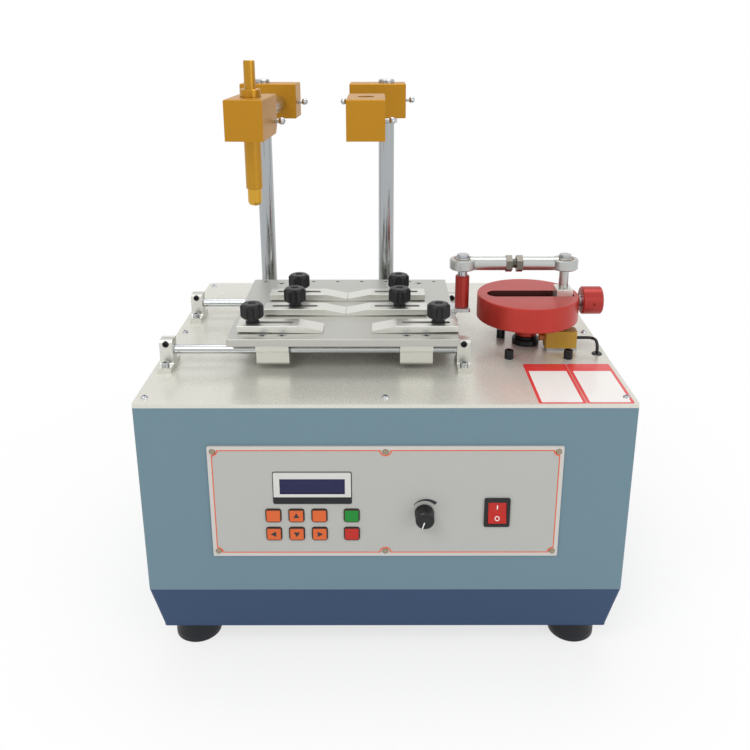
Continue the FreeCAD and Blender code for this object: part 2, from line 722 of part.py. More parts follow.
def make_bearing_block(x, y):
    z = TABLE_Z - BLOCK_H
    half = BLOCK_W / 2
    low = BLOCK_BODY_W / 2
    outline = [
        (-low + 3, 0), (low - 3, 0), (low, 3), (low, BLOCK_H - BLOCK_FLANGE - 3), (half, BLOCK_H - BLOCK_FLANGE),
        (half, BLOCK_H), (-half, BLOCK_H), (-half, BLOCK_H - BLOCK_FLANGE), (-low, BLOCK_H - BLOCK_FLANGE - 3), (-low, 3),
    ]
    body = prism([(x - BLOCK_L / 2, y + dy, z + dz) for dy, dz in outline], V(BLOCK_L, 0, 0))
    cuts = [disc(BUSH_R, BLOCK_L + 2, x - BLOCK_L / 2 - 1, y, on_plate(RAIL_H), X_AXIS)]
    for sx in (-1, 1):
        for sy in (-1, 1):
            cuts.append(disc(BOLT_M5_R, 8, x + sx * BLOCK_HOLES_X / 2, y + sy * BLOCK_HOLES_Y / 2, TABLE_Z - 7))
    return body.cut(cuts)


def make_linear_bush(x, y):
    half = BUSH_L / 2
    profile = [
        (RAIL_R + RUN, -half), (BUSH_R - 0.6, -half), (BUSH_R, -half + 0.6), (BUSH_R, half - 0.6),
        (BUSH_R - 0.6, half), (RAIL_R + RUN, half),
    ]
    return turned(profile, x, y, on_plate(RAIL_H), X_AXIS)


def table_screw_places():
    return [
        (x + sx * BLOCK_HOLES_X / 2, y + sy * BLOCK_HOLES_Y / 2)
        for x, y in block_places() for sx in (-1, 1) for sy in (-1, 1)
    ]


def jaw_places():
    """Name, side, x of the outer end, x of the knob and y of the middle of each clamp."""
    return [(name, side, toe + side * JAW_L, stud, at_front(JAW_ROWS[row])) for name, side, row, toe, stud in JAWS]


def make_table_plate():
    y0 = at_front(TABLE_Y)
    plate = box(TABLE_LEFT, TABLE_RIGHT, y0, y0 + TABLE_D, TABLE_Z, TABLE_TOP)
    plate = soften(plate, 2.0, runs_along(Z_AXIS))
    plate = plate.makeChamfer(0.6, [e for e in plate.Edges if abs(e.BoundBox.ZMin - TABLE_TOP) < 1e-6])
    cuts = []
    for x, y in table_screw_places():
        cuts.append(disc(BOLT_M5_R, TABLE_T + 2, x, y, TABLE_Z - 1))
        cuts.append(disc(SOCKET_M5_R + 0.3, SOCKET_M5_H + 1, x, y, TABLE_TOP - SOCKET_M5_H - 0.2))
    for _, _, _, stud, y in jaw_places():
        cuts.append(disc(STUD_R + RUN, TABLE_T + 2, stud, y, TABLE_Z - 1))
    for x, y in bracket_screw_places():
        cuts.append(disc(SCREW_M4_R, TABLE_T + 2, x, y, TABLE_Z - 1))
    for k in range(SPARE_HOLES):
        x = TABLE_LEFT + TABLE_W * (k + 0.5) / SPARE_HOLES
        cuts.append(disc(2.1, TABLE_T + 2, x, y0 + TABLE_D - 9, TABLE_Z - 1))
    return plate.cut(cuts)


SPARE_HOLES = 8


def make_table_screws():
    seat = TABLE_TOP - SOCKET_M5_H - 0.2
    length = seat - TABLE_Z + 6
    return [socket_screw(SOCKET_M5_R, SOCKET_M5_H, BOLT_M5_R, length, x, y, seat) for x, y in table_screw_places()]


def make_jaw(side, heel, y):
    """Strap clamp: its underside rises from the toe to the outer end, and its inner end slopes down to a thin toe."""
    top = JAW_H
    outline = [(0, JAW_SLIT), (JAW_L - JAW_PAD, 0), (JAW_L, 0), (JAW_L, JAW_TOE_T), (JAW_L - JAW_SLOPE, top), (0, top)]
    z = TABLE_TOP + TOUCH_CLEAR
    points = [(heel - side * dx, y - JAW_W / 2, z + dz) for dx, dz in outline]
    body = prism(points, V(0, JAW_W, 0))
    body = body.makeChamfer(0.6, [e for e in body.Edges if abs(e.BoundBox.ZMin - z - top) < 1e-6])
    a = heel - side * JAW_SLOT_IN
    b = a - side * JAW_SLOT_L
    slot = obround(min(a, b), max(a, b), y, SLOT_R, z - 1, top + 2)
    return body.cut(slot)


def make_star_knob(x, y):
    """Lobed clamp knob with its stud, which runs through the clamp's slot into the table."""
    z = TABLE_TOP + TOUCH_CLEAR + JAW_H + GAP
    low = STAR_NECK_H
    top = STAR_NECK_H + STAR_H
    head = turned([(0, low), (STAR_R - 2, low), (STAR_R, low + 2), (STAR_R, top - 3), (STAR_R - 2.2, top - 0.6),
                   (STAR_R - 4, top), (4.5, top), (3.5, top - 1.2), (0, top - 1.2)], 0, 0, 0)
    flutes = []
    for k in range(STAR_LOBES):
        a = 2 * math.pi * (k + 0.5) / STAR_LOBES
        reach = STAR_R + STAR_FLUTE_R - STAR_FLUTE
        flutes.append(disc(STAR_FLUTE_R, STAR_H + 2, reach * math.cos(a), reach * math.sin(a), low - 1))
    head = head.cut(flutes)
    neck = turned([(0, 0), (STAR_NECK_R, 0), (STAR_NECK_R, 1.4), (STAR_NECK_R - 1, 2.4), (STAR_NECK_R - 1, low + 1),
                   (0, low + 1)], 0, 0, 0)
    stud = disc(STUD_R, z - TABLE_Z + 1, 0, 0, TABLE_Z - z)
    knob = join([head, neck, stud])
    knob.translate(V(x, y, z))
    return knob


STAR_FLUTE_R = 4.0
STAR_FLUTE = 2.6


# Crank drive
def make_crank_wheel():
    x = WHEEL_X
    y = at_front(WHEEL_Y)
    z = on_plate(WHEEL_Z)
    top = WHEEL_T
    profile = [
        (SHAFT_R, -HUB_H), (HUB_R - 1, -HUB_H), (HUB_R, 1 - HUB_H), (HUB_R, 0), (WHEEL_R - 1, 0), (WHEEL_R, 1),
        (WHEEL_R, top - 1), (WHEEL_R - 1, top), (0, top), (0, top - SLOT_DEEP - 2), (SHAFT_R, top - SLOT_DEEP - 2),
    ]
    wheel = turned(profile, x, y, z)
    slot = box(x + SLOT_IN + SLOT_W / 2, x + SLOT_OUT, y - SLOT_W / 2, y + SLOT_W / 2, z + top - SLOT_DEEP, z + top + 1)
    end = disc(SLOT_W / 2, SLOT_DEEP + 1, x + SLOT_IN + SLOT_W / 2, y, z + top - SLOT_DEEP)
    bore = disc(SCREW_R + RUN, WHEEL_R + 2 - SLOT_IN + 4, x + SLOT_IN - 4, y, on_plate(SCREW_Z), X_AXIS)
    return wheel.cut([slot, end, bore])


def make_crank_shaft():
    low = BODY_TOP - 25
    return disc(SHAFT_R, on_plate(WHEEL_Z + WHEEL_T - SLOT_DEEP - 2) - low, WHEEL_X, at_front(WHEEL_Y), low)


def make_crank_block():
    x = WHEEL_X + CRANK_R
    y = at_front(WHEEL_Y)
    half = SLOT_W / 2 - SLIP
    low = on_plate(WHEEL_Z + WHEEL_T - SLOT_DEEP) + TOUCH_CLEAR
    block = box(x - CRANK_L / 2, x + CRANK_L / 2, y - half, y + half, low, on_plate(CRANK_TOP))
    block = soften(block, 1.0, lambda e: abs(e.BoundBox.ZMin - on_plate(CRANK_TOP)) < 1e-6)
    return block.cut(disc(SCREW_R + RUN, CRANK_L + 2, x - CRANK_L / 2 - 1, y, on_plate(SCREW_Z), X_AXIS))


def make_lead_screw():
    y = at_front(WHEEL_Y)
    x0 = WHEEL_X + SLOT_IN - 3
    bar = disc(SCREW_R, KNOB_X + RADIUS_KNOB_L - 4 - x0, x0, y, on_plate(SCREW_Z), X_AXIS)
    collar = disc(SCREW_R + 3, 2.5, KNOB_X - 2.5, y, on_plate(SCREW_Z), X_AXIS)
    return join([bar, collar])


KNOB_X = WHEEL_X + WHEEL_R + 3.2


def make_radius_knob():
    y = at_front(WHEEL_Y)
    x0 = KNOB_X
    length = RADIUS_KNOB_L
    r = RADIUS_KNOB_R
    profile = [(SCREW_R, 0), (r - 1.2, 0), (r, 1.2), (r, length - 1.2), (r - 1.2, length), (0, length), (0, length - 3.5),
               (SCREW_R, length - 3.5)]
    knob = turned(profile, x0, y, on_plate(SCREW_Z), X_AXIS)
    hole = disc(1.8, RADIUS_KNOB_R, x0 + length / 2, y - RADIUS_KNOB_R - 1, on_plate(SCREW_Z), Y_AXIS)
    return knob.cut(hole)


def make_knob_set_screw():
    y = at_front(WHEEL_Y) - RADIUS_KNOB_R
    x = KNOB_X + RADIUS_KNOB_L / 2
    return disc(1.8, RADIUS_KNOB_R - SCREW_R - 1.5, x, y + 1.5, on_plate(SCREW_Z), Y_AXIS)


def eye_places():
    y = at_front(WHEEL_Y)
    x = WHEEL_X + CRANK_R
    return (x - ROD_L, y), (x, y)


def make_rod_end(x, y, way):
    """Rod end: a round eye with a spherical seat, and a shank towards the other end of the rod."""
    z = on_plate(ROD_Z)
    eye = disc(EYE_R, EYE_T, x, y, z - EYE_T / 2)
    eye = eye.makeChamfer(1.2, [e for e in eye.Edges if e.Curve.TypeId == "Part::GeomCircle"])
    shank = disc(NECK_R, NECK_L - 8, x + way * 8, y, z, V(way, 0, 0))
    seat = Part.makeSphere(BALL_R + RUN, V(x, y, z))
    thread = disc(STUD_ROD_R, 16, x + way * (NECK_L - 15), y, z, V(way, 0, 0))
    return join([eye, shank]).cut([seat, thread])


STUD_ROD_R = 5.0


def make_rod_ball(x, y):
    z = on_plate(ROD_Z)
    ball = Part.makeSphere(BALL_R, V(x, y, z))
    ball = ball.common(disc(BALL_R, BALL_T, x, y, z - BALL_T / 2))
    return ball.cut(disc(ROD_PIN_R + RUN, BALL_T + 2, x, y, z - BALL_T / 2 - 1))


def make_rod_stud():
    (x0, y), (x1, _) = eye_places()
    a = x0 + NECK_L - 15
    b = x1 - NECK_L + 15
    return disc(STUD_ROD_R, b - a, a, y, on_plate(ROD_Z), X_AXIS)


def make_rod_nuts():
    (x0, y), (x1, _) = eye_places()
    z = on_plate(ROD_Z)
    bar_cut = disc(STUD_ROD_R, ROD_L, x0, y, z, X_AXIS)
    nuts = []
    for a in (x0 + NECK_L, x1 - NECK_L - NUT_H):
        nuts.append(hexagon(NUT_AF, NUT_H, a, y, z, X_AXIS).cut(bar_cut))
    return nuts


def make_pivot_bolt(x, y, low):
    """The bolt through a rod end's ball, with a low head."""
    z = on_plate(ROD_Z) + BALL_T / 2
    shank = disc(ROD_PIN_R, z - low, x, y, low)
    head = hexagon(12.0, 4.0, x, y, z)
    return join([shank, head])


def make_spacer(x, y, low):
    high = on_plate(ROD_Z) - BALL_T / 2
    tube = disc(SPACER_R, high - low, x, y, low)
    return tube.cut(disc(ROD_PIN_R, high - low + 2, x, y, low - 1))


def make_drive_post():
    (x, y), _ = eye_places()
    low = TABLE_TOP + BRACKET_T
    high = on_plate(POST_TOP)
    post = turned([(ROD_PIN_R, 0), (POST_R - 0.8, 0), (POST_R, 0.8), (POST_R, high - low - 0.8),
                   (POST_R - 0.8, high - low), (ROD_PIN_R, high - low)], x, y, low)
    return post


def bracket_screw_places():
    y = at_front(WHEEL_Y)
    return [(BRACKET_LEFT + 9, y + side * (BRACKET_W / 2 - 6)) for side in (-1, 1)]


def make_drive_bracket():
    (x, y), _ = eye_places()
    block = box(BRACKET_LEFT, BRACKET_LEFT + BRACKET_L, y - BRACKET_W / 2, y + BRACKET_W / 2, TABLE_TOP,
                TABLE_TOP + BRACKET_T)
    block = soften(block, 3.0, runs_along(Z_AXIS))
    cuts = [disc(ROD_PIN_R, 20, x, y, TABLE_TOP - 1)]
    cuts += [disc(SCREW_M4_R, BRACKET_T + 2, sx, sy, TABLE_TOP - 1) for sx, sy in bracket_screw_places()]
    return block.cut(cuts)


# Columns and load heads
def make_column(x, y, height):
    spigot = disc(SPIGOT_R, PLATE_T + 14, x, y, BODY_TOP - 14)
    bar = disc(COLUMN_R, height, x, y, PLATE_Z)
    bar = bar.makeChamfer(1.0, [e for e in bar.Edges if abs(e.BoundBox.ZMin - PLATE_Z - height) < 1e-6])
    return join([bar, spigot])


def make_column_nut(x, y):
    nut = hexagon(19.0, 10.0, x, y, BODY_TOP - 10)
    return nut.cut(disc(SPIGOT_R, 12, x, y, BODY_TOP - 11))


def make_stop_collar(x, y):
    z = on_plate(CLAMP_LOW) - GAP - COLLAR_H
    ring = turned([(COLUMN_R + RUN, 0), (COLLAR_R - 0.8, 0), (COLLAR_R, 0.8), (COLLAR_R, COLLAR_H - 0.8),
                   (COLLAR_R - 0.8, COLLAR_H), (COLUMN_R + RUN, COLLAR_H)], x, y, z)
    return ring.cut(disc(1.5, COLLAR_R, x, y - COLLAR_R - 1, z + COLLAR_H / 2, Y_AXIS))


def make_column_clamp(x, y, inward):
    """The block that rides on the column and holds the cross arm beside it."""
    low = on_plate(CLAMP_LOW)
    x_out = x - inward * CLAMP_OUT
    x_in = x + inward * (ARM_OFFSET + CLAMP_IN)
    block = box(min(x_out, x_in), max(x_out, x_in), y - CLAMP_D / 2, y + CLAMP_D / 2, low, low + HEAD_H)
    block = block.makeChamfer(1.0, [e for e in block.Edges])
    arm_x = x + inward * ARM_OFFSET
    cuts = [disc(COLUMN_R + RUN, HEAD_H + 2, x, y, low - 1)]
    cuts.append(disc(ARM_R + RUN, CLAMP_D + 2, arm_x, y - CLAMP_D / 2 - 1, on_plate(ARM_Z), Y_AXIS))
    return block.cut(cuts)


def make_cross_arm(x, y, inward):
    y0 = at_front(NOSE_Y + NOSE_D - ARM_SEAT)
    y1 = y + CLAMP_D / 2 + ARM_BACK
    bar = disc(ARM_R, y1 - y0, x + inward * ARM_OFFSET, y0, on_plate(ARM_Z), Y_AXIS)
    return bar.makeChamfer(1.0, [e for e in bar.Edges if abs(e.BoundBox.YMin - y1) < 1e-6])


def make_pin_block(x, inward):
    low = on_plate(NOSE_LOW)
    mid = x + inward * ARM_OFFSET
    y0 = at_front(NOSE_Y)
    y1 = y0 + NOSE_D
    outline = [(y0, 0), (y1 - NOSE_CHAMFER, 0), (y1, NOSE_CHAMFER), (y1, HEAD_H), (y0, HEAD_H)]
    block = prism([(mid - NOSE_W / 2, py, low + pz) for py, pz in outline], V(NOSE_W, 0, 0))
    top = low + HEAD_H
    block = block.makeChamfer(1.0, [e for e in block.Edges if e.BoundBox.ZMin > top - 1e-3])
    bore = disc(NOSE_BORE_R, HEAD_H + 2, mid, y0 + NOSE_BORE_IN, low - 1)
    seat = disc(ARM_R, ARM_SEAT + 1, mid, y1 - ARM_SEAT, on_plate(ARM_Z), Y_AXIS)
    return block.cut([bore, seat])


def make_thumb_screw(x, y, z, out, deep):
    """A plain screw with a ball end: the ball stands off the block on a short shank."""
    shank = disc(THUMB_R, deep + THUMB_OUT, x - out.x * deep, y - out.y * deep, z - out.z * deep, out)
    ball = Part.makeSphere(BALL_END_R, V(x, y, z) + out * THUMB_OUT)
    return join([shank, ball])


def thumb_bore(x, y, z, out, deep):
    return disc(THUMB_R, deep + 1, x - out.x * deep, y - out.y * deep, z - out.z * deep, out)


def make_load_pin(x, y):
    """The pin that loads the wire: a rod for the weights on top, a stop collar on the block, a sleeve that slides in
    the bore and a rounded tip."""
    z = on_plate(NOSE_LOW) + HEAD_H
    sleeve = NOSE_BORE_R - RUN
    low = -HEAD_H - PIN_DOWN
    high = GAP + PIN_COLLAR_H + LOAD_UP
    profile = [
        (0, low - TIP_H), (TIP_R - 4, low - TIP_H), (TIP_R - 1.3, low - TIP_H + 1.2), (TIP_R, low - TIP_H + 4),
        (TIP_R, low), (sleeve - 0.6, low), (sleeve, low + 0.6), (sleeve, GAP), (PIN_COLLAR_R, GAP),
        (PIN_COLLAR_R, GAP + PIN_COLLAR_H - 0.8), (PIN_COLLAR_R - 0.8, GAP + PIN_COLLAR_H), (LOAD_R, GAP + PIN_COLLAR_H),
        (LOAD_R, high - 0.6), (LOAD_R - 0.6, high), (0, high),
    ]
    return turned(profile, x, y, z)


def make_heads():
    """Both load heads. The left one is turned a little about its column."""
    z = on_plate(CLAMP_LOW) + HEAD_H / 2
    z_nose = on_plate(NOSE_LOW)
    pieces = {}
    for side, x, y, inward in column_places():
        arm_x = x + inward * ARM_OFFSET
        out_x = x - inward * CLAMP_OUT
        in_x = arm_x + inward * CLAMP_IN
        nose_back = at_front(NOSE_Y + NOSE_D)
        screws = [
            (V(out_x, y, z), V(-inward, 0, 0), CLAMP_OUT - COLUMN_R - 0.5),
            (V(in_x, y, z - 2), V(inward, 0, 0), CLAMP_IN - ARM_R - 0.5),
        ]
        nose_screw = (V(x + inward * ARM_OFFSET + NOSE_W / 2, nose_back - 14, z_nose + 14), X_AXIS, NOSE_W / 2 - ARM_R + 0.5)
        clamp = make_column_clamp(x, y, inward)
        clamp = clamp.cut([thumb_bore(p.x, p.y, p.z, out, deep) for p, out, deep in screws])
        nose = make_pin_block(x, inward)
        point, out, deep = nose_screw
        nose = nose.cut(thumb_bore(point.x, point.y, point.z, out, deep))
        pieces[side + "_stop_collar"] = [make_stop_collar(x, y)]
        pieces[side + "_column_clamp"] = [clamp]
        pieces[side + "_cross_arm"] = [make_cross_arm(x, y, inward)]
        pieces[side + "_pin_block"] = [nose]
        pieces[side + "_clamp_screws"] = [make_thumb_screw(p.x, p.y, p.z, o, d) for p, o, d in screws]
        pieces[side + "_pin_block_screw"] = [make_thumb_screw(point.x, point.y, point.z, out, deep)]
    arm_x = COLUMN_LEFT_X + ARM_OFFSET
    pin_y = at_front(NOSE_Y + NOSE_BORE_IN)
    pieces["load_pin"] = [make_load_pin(arm_x, pin_y)]
    centre = V(COLUMN_LEFT_X, at_front(COLUMN_Y), 0)
    for name, shapes in pieces.items():
        if name.startswith("left") or name == "load_pin":
            for shape in shapes:
                shape.rotate(centre, Z_AXIS, -LEFT_TURN)
    return pieces


# Sensor and cable
def sensor_screw_place():
    return SENSOR_X[1] - 14, at_front((SENSOR_Y[0] + SENSOR_Y[1]) / 2)


def make_sensor():
    x0, x1 = SENSOR_X
    y0, y1 = SENSOR_Y
    body = box(x0, x1, at_front(y0), at_front(y1), on_plate(SENSOR_LOW), on_plate(SENSOR_H))
    body = soften(body, 2.0, runs_along(Z_AXIS))
    x, y = sensor_screw_place()
    return body.cut(disc(SCREW_M4_R, 30, x, y, on_plate(SENSOR_LOW) - 1))


def make_sensor_bracket():
    x0, x1 = SENSOR_X
    y0, y1 = SENSOR_Y
    foot = box(x0 + 2, x1, at_front(y0), at_front(y1), PLATE_Z, on_plate(SENSOR_LOW))
    x, y = sensor_screw_place()
    return foot.cut(disc(SCREW_M4_R, 10, x, y, PLATE_Z - 1))


def make_sensor_nose():
    y = at_front((SENSOR_Y[0] + SENSOR_Y[1]) / 2)
    x1 = SENSOR_X[0]
    return disc(NOSE_R, 6.0, x1 - 6.0, y, on_plate(14.0), X_AXIS)


def make_sensor_screw():
    x, y = sensor_screw_place()
    length = SENSOR_H + PLATE_T - 0.5
    return socket_screw(SOCKET_M4_R, SOCKET_M4_H - 1, SCREW_M4_R, length, x, y, on_plate(SENSOR_H))


def make_cable():
    """The sensor's lead: straight runs joined by tangent arcs, from the sensor down through the plate."""
    points = [V(x, at_front(y), on_plate(z)) for x, y, z in CABLE_ROUTE]
    edges = []
    start = points[0]
    for before, here, after in zip(points, points[1:], points[2:]):
        into = (here - before).normalize()
        onward = (after - here).normalize()
        half_turn = into.getAngle(onward) / 2
        radius = CABLE_BEND
        reach = radius * math.tan(half_turn)
        a = here - into * reach
        b = here + onward * reach
        bisector = (onward - into).normalize()
        centre = here + bisector * (radius / math.cos(half_turn))
        middle = centre - bisector * radius
        edges.append(Part.LineSegment(start, a).toShape())
        edges.append(Part.Arc(a, middle, b).toShape())
        print("cable bend radius", round(radius, 1))
        start = b
    edges.append(Part.LineSegment(start, points[-1]).toShape())
    path = Part.Wire(edges)
    section = Part.Wire([Part.Circle(points[0], points[1] - points[0], CABLE_R).toShape()])
    tube = path.makePipeShell([section], True, True)
    length = path.Length
    print("cable length", round(length, 1), "volume ratio", round(tube.Volume / (math.pi * CABLE_R ** 2 * length), 4))
    return tube


def make_grommet():
    end = CABLE_ROUTE[-1]
    profile = [
        (CABLE_R + SLIP, -PLATE_T - 1.5), (GROMMET_R + 1.5, -PLATE_T - 1.5), (GROMMET_R + 1.5, -PLATE_T),
        (GROMMET_R, -PLATE_T), (GROMMET_R, 0), (GROMMET_R + 2, 0), (GROMMET_R + 1, 1.4), (CABLE_R + SLIP, 1.4),
    ]
    return turned(profile, end[0], at_front(end[1]), PLATE_Z)


def button_head(x, y, z, out, shank):
    profile = [
        (0, -shank), (SCREW_M4_R, -shank), (SCREW_M4_R, 0), (BUTTON_HEAD_R, 0), (BUTTON_HEAD_R - 0.4, 1.0),
        (BUTTON_HEAD_R - 1.6, BUTTON_HEAD_H), (1.3, BUTTON_HEAD_H), (1.3, 0.8), (0, 0.8),
    ]
    return turned(profile, x, y, z, out)


def main():
    os.makedirs("parts", exist_ok=True)
    save("housing", [make_housing()])
    save("base_plate", [make_base_plate()])
    save("feet", [make_foot(x, y) for x, y in foot_places()])
    save("top_plate", [make_top_plate()])
    panel_y = FRONT - PANEL_T
    panel_screw = [(0, -6), (1.5, -6), (1.5, 0), (3.2, 0), (2.6, 1.0), (1.2, 1.5), (0, 1.5)]
    screws = [button_head(x, y, PLATE_Z, Z_AXIS, 8) for x, y in plate_screw_places()]
    screws += [turned(panel_screw, x, panel_y, z, V(0, -1, 0)) for x, z in panel_screw_places()]
    screws += [socket_screw(6.5, 3.0, BOLT_M5_R, FOOT_H - 4, x, y, 8, V(0, 0, -1)) for x, y in foot_places()]
    save("cover_screws", screws)
    save("front_panel", [make_front_panel()])
    save("display_window", [make_display_window(), make_display_bezel()])
    save("electronics", [make_control_board(), make_potentiometer(), make_power_supply()])
    for name, x, z in button_places():
        save(name, [make_button(x, z)])
    save("speed_knob", [make_speed_knob(), make_pot_shaft()])
    save("rocker_bezel", [make_rocker_bezel()])
    save("power_rocker", [make_rocker()])
    save("inlet_socket", [make_power_inlet()])
    save("gear_motor", [make_motor()])
    save("rail_supports", [make_support(x, y) for x, y in support_places()])
    save("guide_rails", make_rails())
    motor_screws = [
        socket_screw(MOTOR_HEAD_R, MOTOR_HEAD_H, BOLT_M5_R, PLATE_T + 8, x, y, PLATE_Z) for x, y in motor_screw_places()
    ]
    save("socket_screws", make_support_bolts() + make_support_clamp_screws() + motor_screws + [make_sensor_screw()])
    blocks = [make_bearing_block(x, y) for x, y in block_places()]
    save("bearing_blocks", blocks + [make_linear_bush(x, y) for x, y in block_places()])
    save("table_plate", [make_table_plate()])
    bracket_top = TABLE_TOP + BRACKET_T
    bracket_screws = [button_head(x, y, bracket_top, Z_AXIS, 10) for x, y in bracket_screw_places()]
    save("table_screws", make_table_screws() + bracket_screws)
    for name, side, heel, stud, y in jaw_places():
        save("jaw_" + name, [make_jaw(side, heel, y)])
        save("star_knob_" + name, [make_star_knob(stud, y)])
    save("crank_wheel", [make_crank_wheel(), make_crank_shaft()])
    save("crank_block", [make_crank_block()])
    save("radius_knob", [make_radius_knob(), make_lead_screw(), make_knob_set_screw()])
    (x0, y), (x1, _) = eye_places()
    crank_low = on_plate(CRANK_TOP) + GAP
    crank_pin = [make_pivot_bolt(x1, y, crank_low), make_spacer(x1, y, crank_low), make_rod_ball(x1, y)]
    rod = [make_rod_end(x0, y, 1), make_rod_end(x1, y, -1), make_rod_stud()] + make_rod_nuts()
    save("connecting_rod", rod + crank_pin)
    post = [make_drive_bracket(), make_drive_post(), make_pivot_bolt(x0, y, TABLE_TOP)]
    save("rod_post", post + [make_spacer(x0, y, on_plate(POST_TOP)), make_rod_ball(x0, y)])
    columns = column_places()
    save("columns", [make_column(x, y, COLUMN_H) for _, x, y, _ in columns]
         + [make_column_nut(x, y) for _, x, y, _ in columns])
    for name, shapes in make_heads().items():
        save(name, shapes)
    save("sensor_body", [make_sensor(), make_sensor_nose(), make_sensor_bracket()])
    save("sensor_cable", [make_cable(), make_grommet()])


main()
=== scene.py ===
# %% [markdown]
# # Wire marking abrasion tester
#
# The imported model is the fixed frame: its nodes keep their shapes and get their finishes here. Only the thin things
# that a machinist wouldn't cut, such as print, legends and threads, are built on top of it. Everything is in metres,
# in the model's own frame: X to the right, Y to the back, Z up, with the origin on the bench.

# %%
import bpy
import bmesh
import math
from mathutils import Matrix, Vector


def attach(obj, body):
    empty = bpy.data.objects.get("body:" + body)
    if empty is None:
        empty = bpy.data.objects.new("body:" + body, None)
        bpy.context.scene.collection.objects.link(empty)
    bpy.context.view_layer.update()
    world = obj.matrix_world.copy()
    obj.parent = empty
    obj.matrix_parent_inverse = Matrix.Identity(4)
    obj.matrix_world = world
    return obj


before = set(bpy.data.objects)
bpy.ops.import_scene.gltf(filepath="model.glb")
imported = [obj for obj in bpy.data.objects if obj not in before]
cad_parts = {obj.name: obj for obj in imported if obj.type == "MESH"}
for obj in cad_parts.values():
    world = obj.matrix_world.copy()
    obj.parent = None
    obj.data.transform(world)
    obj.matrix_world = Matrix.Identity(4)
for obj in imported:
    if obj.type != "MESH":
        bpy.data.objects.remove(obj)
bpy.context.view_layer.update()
print("model:", len(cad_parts), "nodes")

# %% [markdown]
# ## Sizes shared with the model
#
# Most pieces lie on the front panel or on the top plate. Their places could be typed in as world coordinates, but a
# drawing's own numbers are easier to read, so they are given in millimetres: x from the middle of the width, v from
# the plate's front edge, h from its upper face. Two small functions turn them into the model's frame.

# %%
MM = 0.001
FRONT = -192.5
PLATE_Z = 301.0
PANEL_FACE = FRONT - 2.0


def on_panel(x, h, out=0.0):
    """A point on the front panel's face, or out from it."""
    return Vector((x * MM, (PANEL_FACE - out) * MM, (PLATE_Z + h) * MM))


def on_plate(x, v, h):
    """A point given from the plate's front edge and its upper face."""
    return Vector((x * MM, (FRONT + v) * MM, (PLATE_Z + h) * MM))


print("the panel's face is at", on_panel(0, 0).y, "and the plate's at", on_plate(0, 0, 0).z)

# %% [markdown]
# ## Shader helpers
#
# A colour picked on a screen is stored in sRGB, and shaders count in linear light, so one function converts it. One
# more sets or links the inputs of a node, and the last adds a node, so that a material reads as a list of steps.

# %%
def linear(code):
    """A colour as it is written on a screen, turned into the light values that the shaders use."""
    values = [int(code[i:i + 2], 16) / 255 for i in (0, 2, 4)]
    return tuple(c / 12.92 if c <= 0.04045 else ((c + 0.055) / 1.055) ** 2.4 for c in values) + (1.0,)


def fill(tree, node, values):
    """Sets a node's inputs, and links those that are given as another node's output."""
    for key, value in values.items():
        if isinstance(value, bpy.types.NodeSocket):
            tree.links.new(value, node.inputs[key])
        else:
            node.inputs[key].default_value = value


def add_node(tree, kind, values=None, **settings):
    """Adds a shader node, sets its options, and fills or links its inputs."""
    node = tree.nodes.new(kind)
    for key, value in settings.items():
        setattr(node, key, value)
    fill(tree, node, values or {})
    return node


# %% [markdown]
# ## Zones
#
# Some nodes are one solid or one set of solids in several finishes, such as a post with a bare bolt in it. They could
# be split into more pieces. A box in Object coordinates is simpler, and it moves with the piece, so the paint never
# slides.

# %%
OPEN = (None, None, None)


def zone(low, high, code, rough, metal=0.0):
    """A box between two corners in millimetres, and the colour, roughness and metal share that hold in it."""
    return (low, high, code, rough, metal)


def inside(tree, split, low, high):
    """1 inside a box given in millimetres and 0 outside it. None leaves a side open."""
    answer = 1.0
    for axis in range(3):
        for limit, side in ((low[axis], "GREATER_THAN"), (high[axis], "LESS_THAN")):
            if limit is not None:
                test = add_node(tree, "ShaderNodeMath", {0: split.outputs[axis], 1: limit * MM}, operation=side)
                both = {0: answer, 1: test.outputs[0]}
                answer = add_node(tree, "ShaderNodeMath", both, operation="MULTIPLY").outputs[0]
    return answer


# %% [markdown]
# ## One recipe for every finish
#
# Paint, anodised metal and moulded plastic differ in colour, gloss and metal share, and in the size and direction of
# their grain. A fine noise varies the colour and roughness a little and lifts the surface by up to a fifth of a
# millimetre, times `bump`. A broad one, in patches of about 70 mm, keeps large faces from looking flat. `grain` counts
# the grains in a millimetre: 1.4 is one every 0.7 mm. Tool marks and the grain of moulds are drawn several times
# coarser than they are, or they wouldn't show in the picture. `stretch` draws the grain out along an axis, which gives
# ground, turned or brushed metal. A flat colour would be quicker, but every piece would look like the same plastic.

# %%
BROAD = 0.014
BROAD_SHARE = 0.3
RELIEF = 0.2 * MM
COAT_ROUGH = 0.12
GLOSS_SPREAD = 0.15
MATS = {}


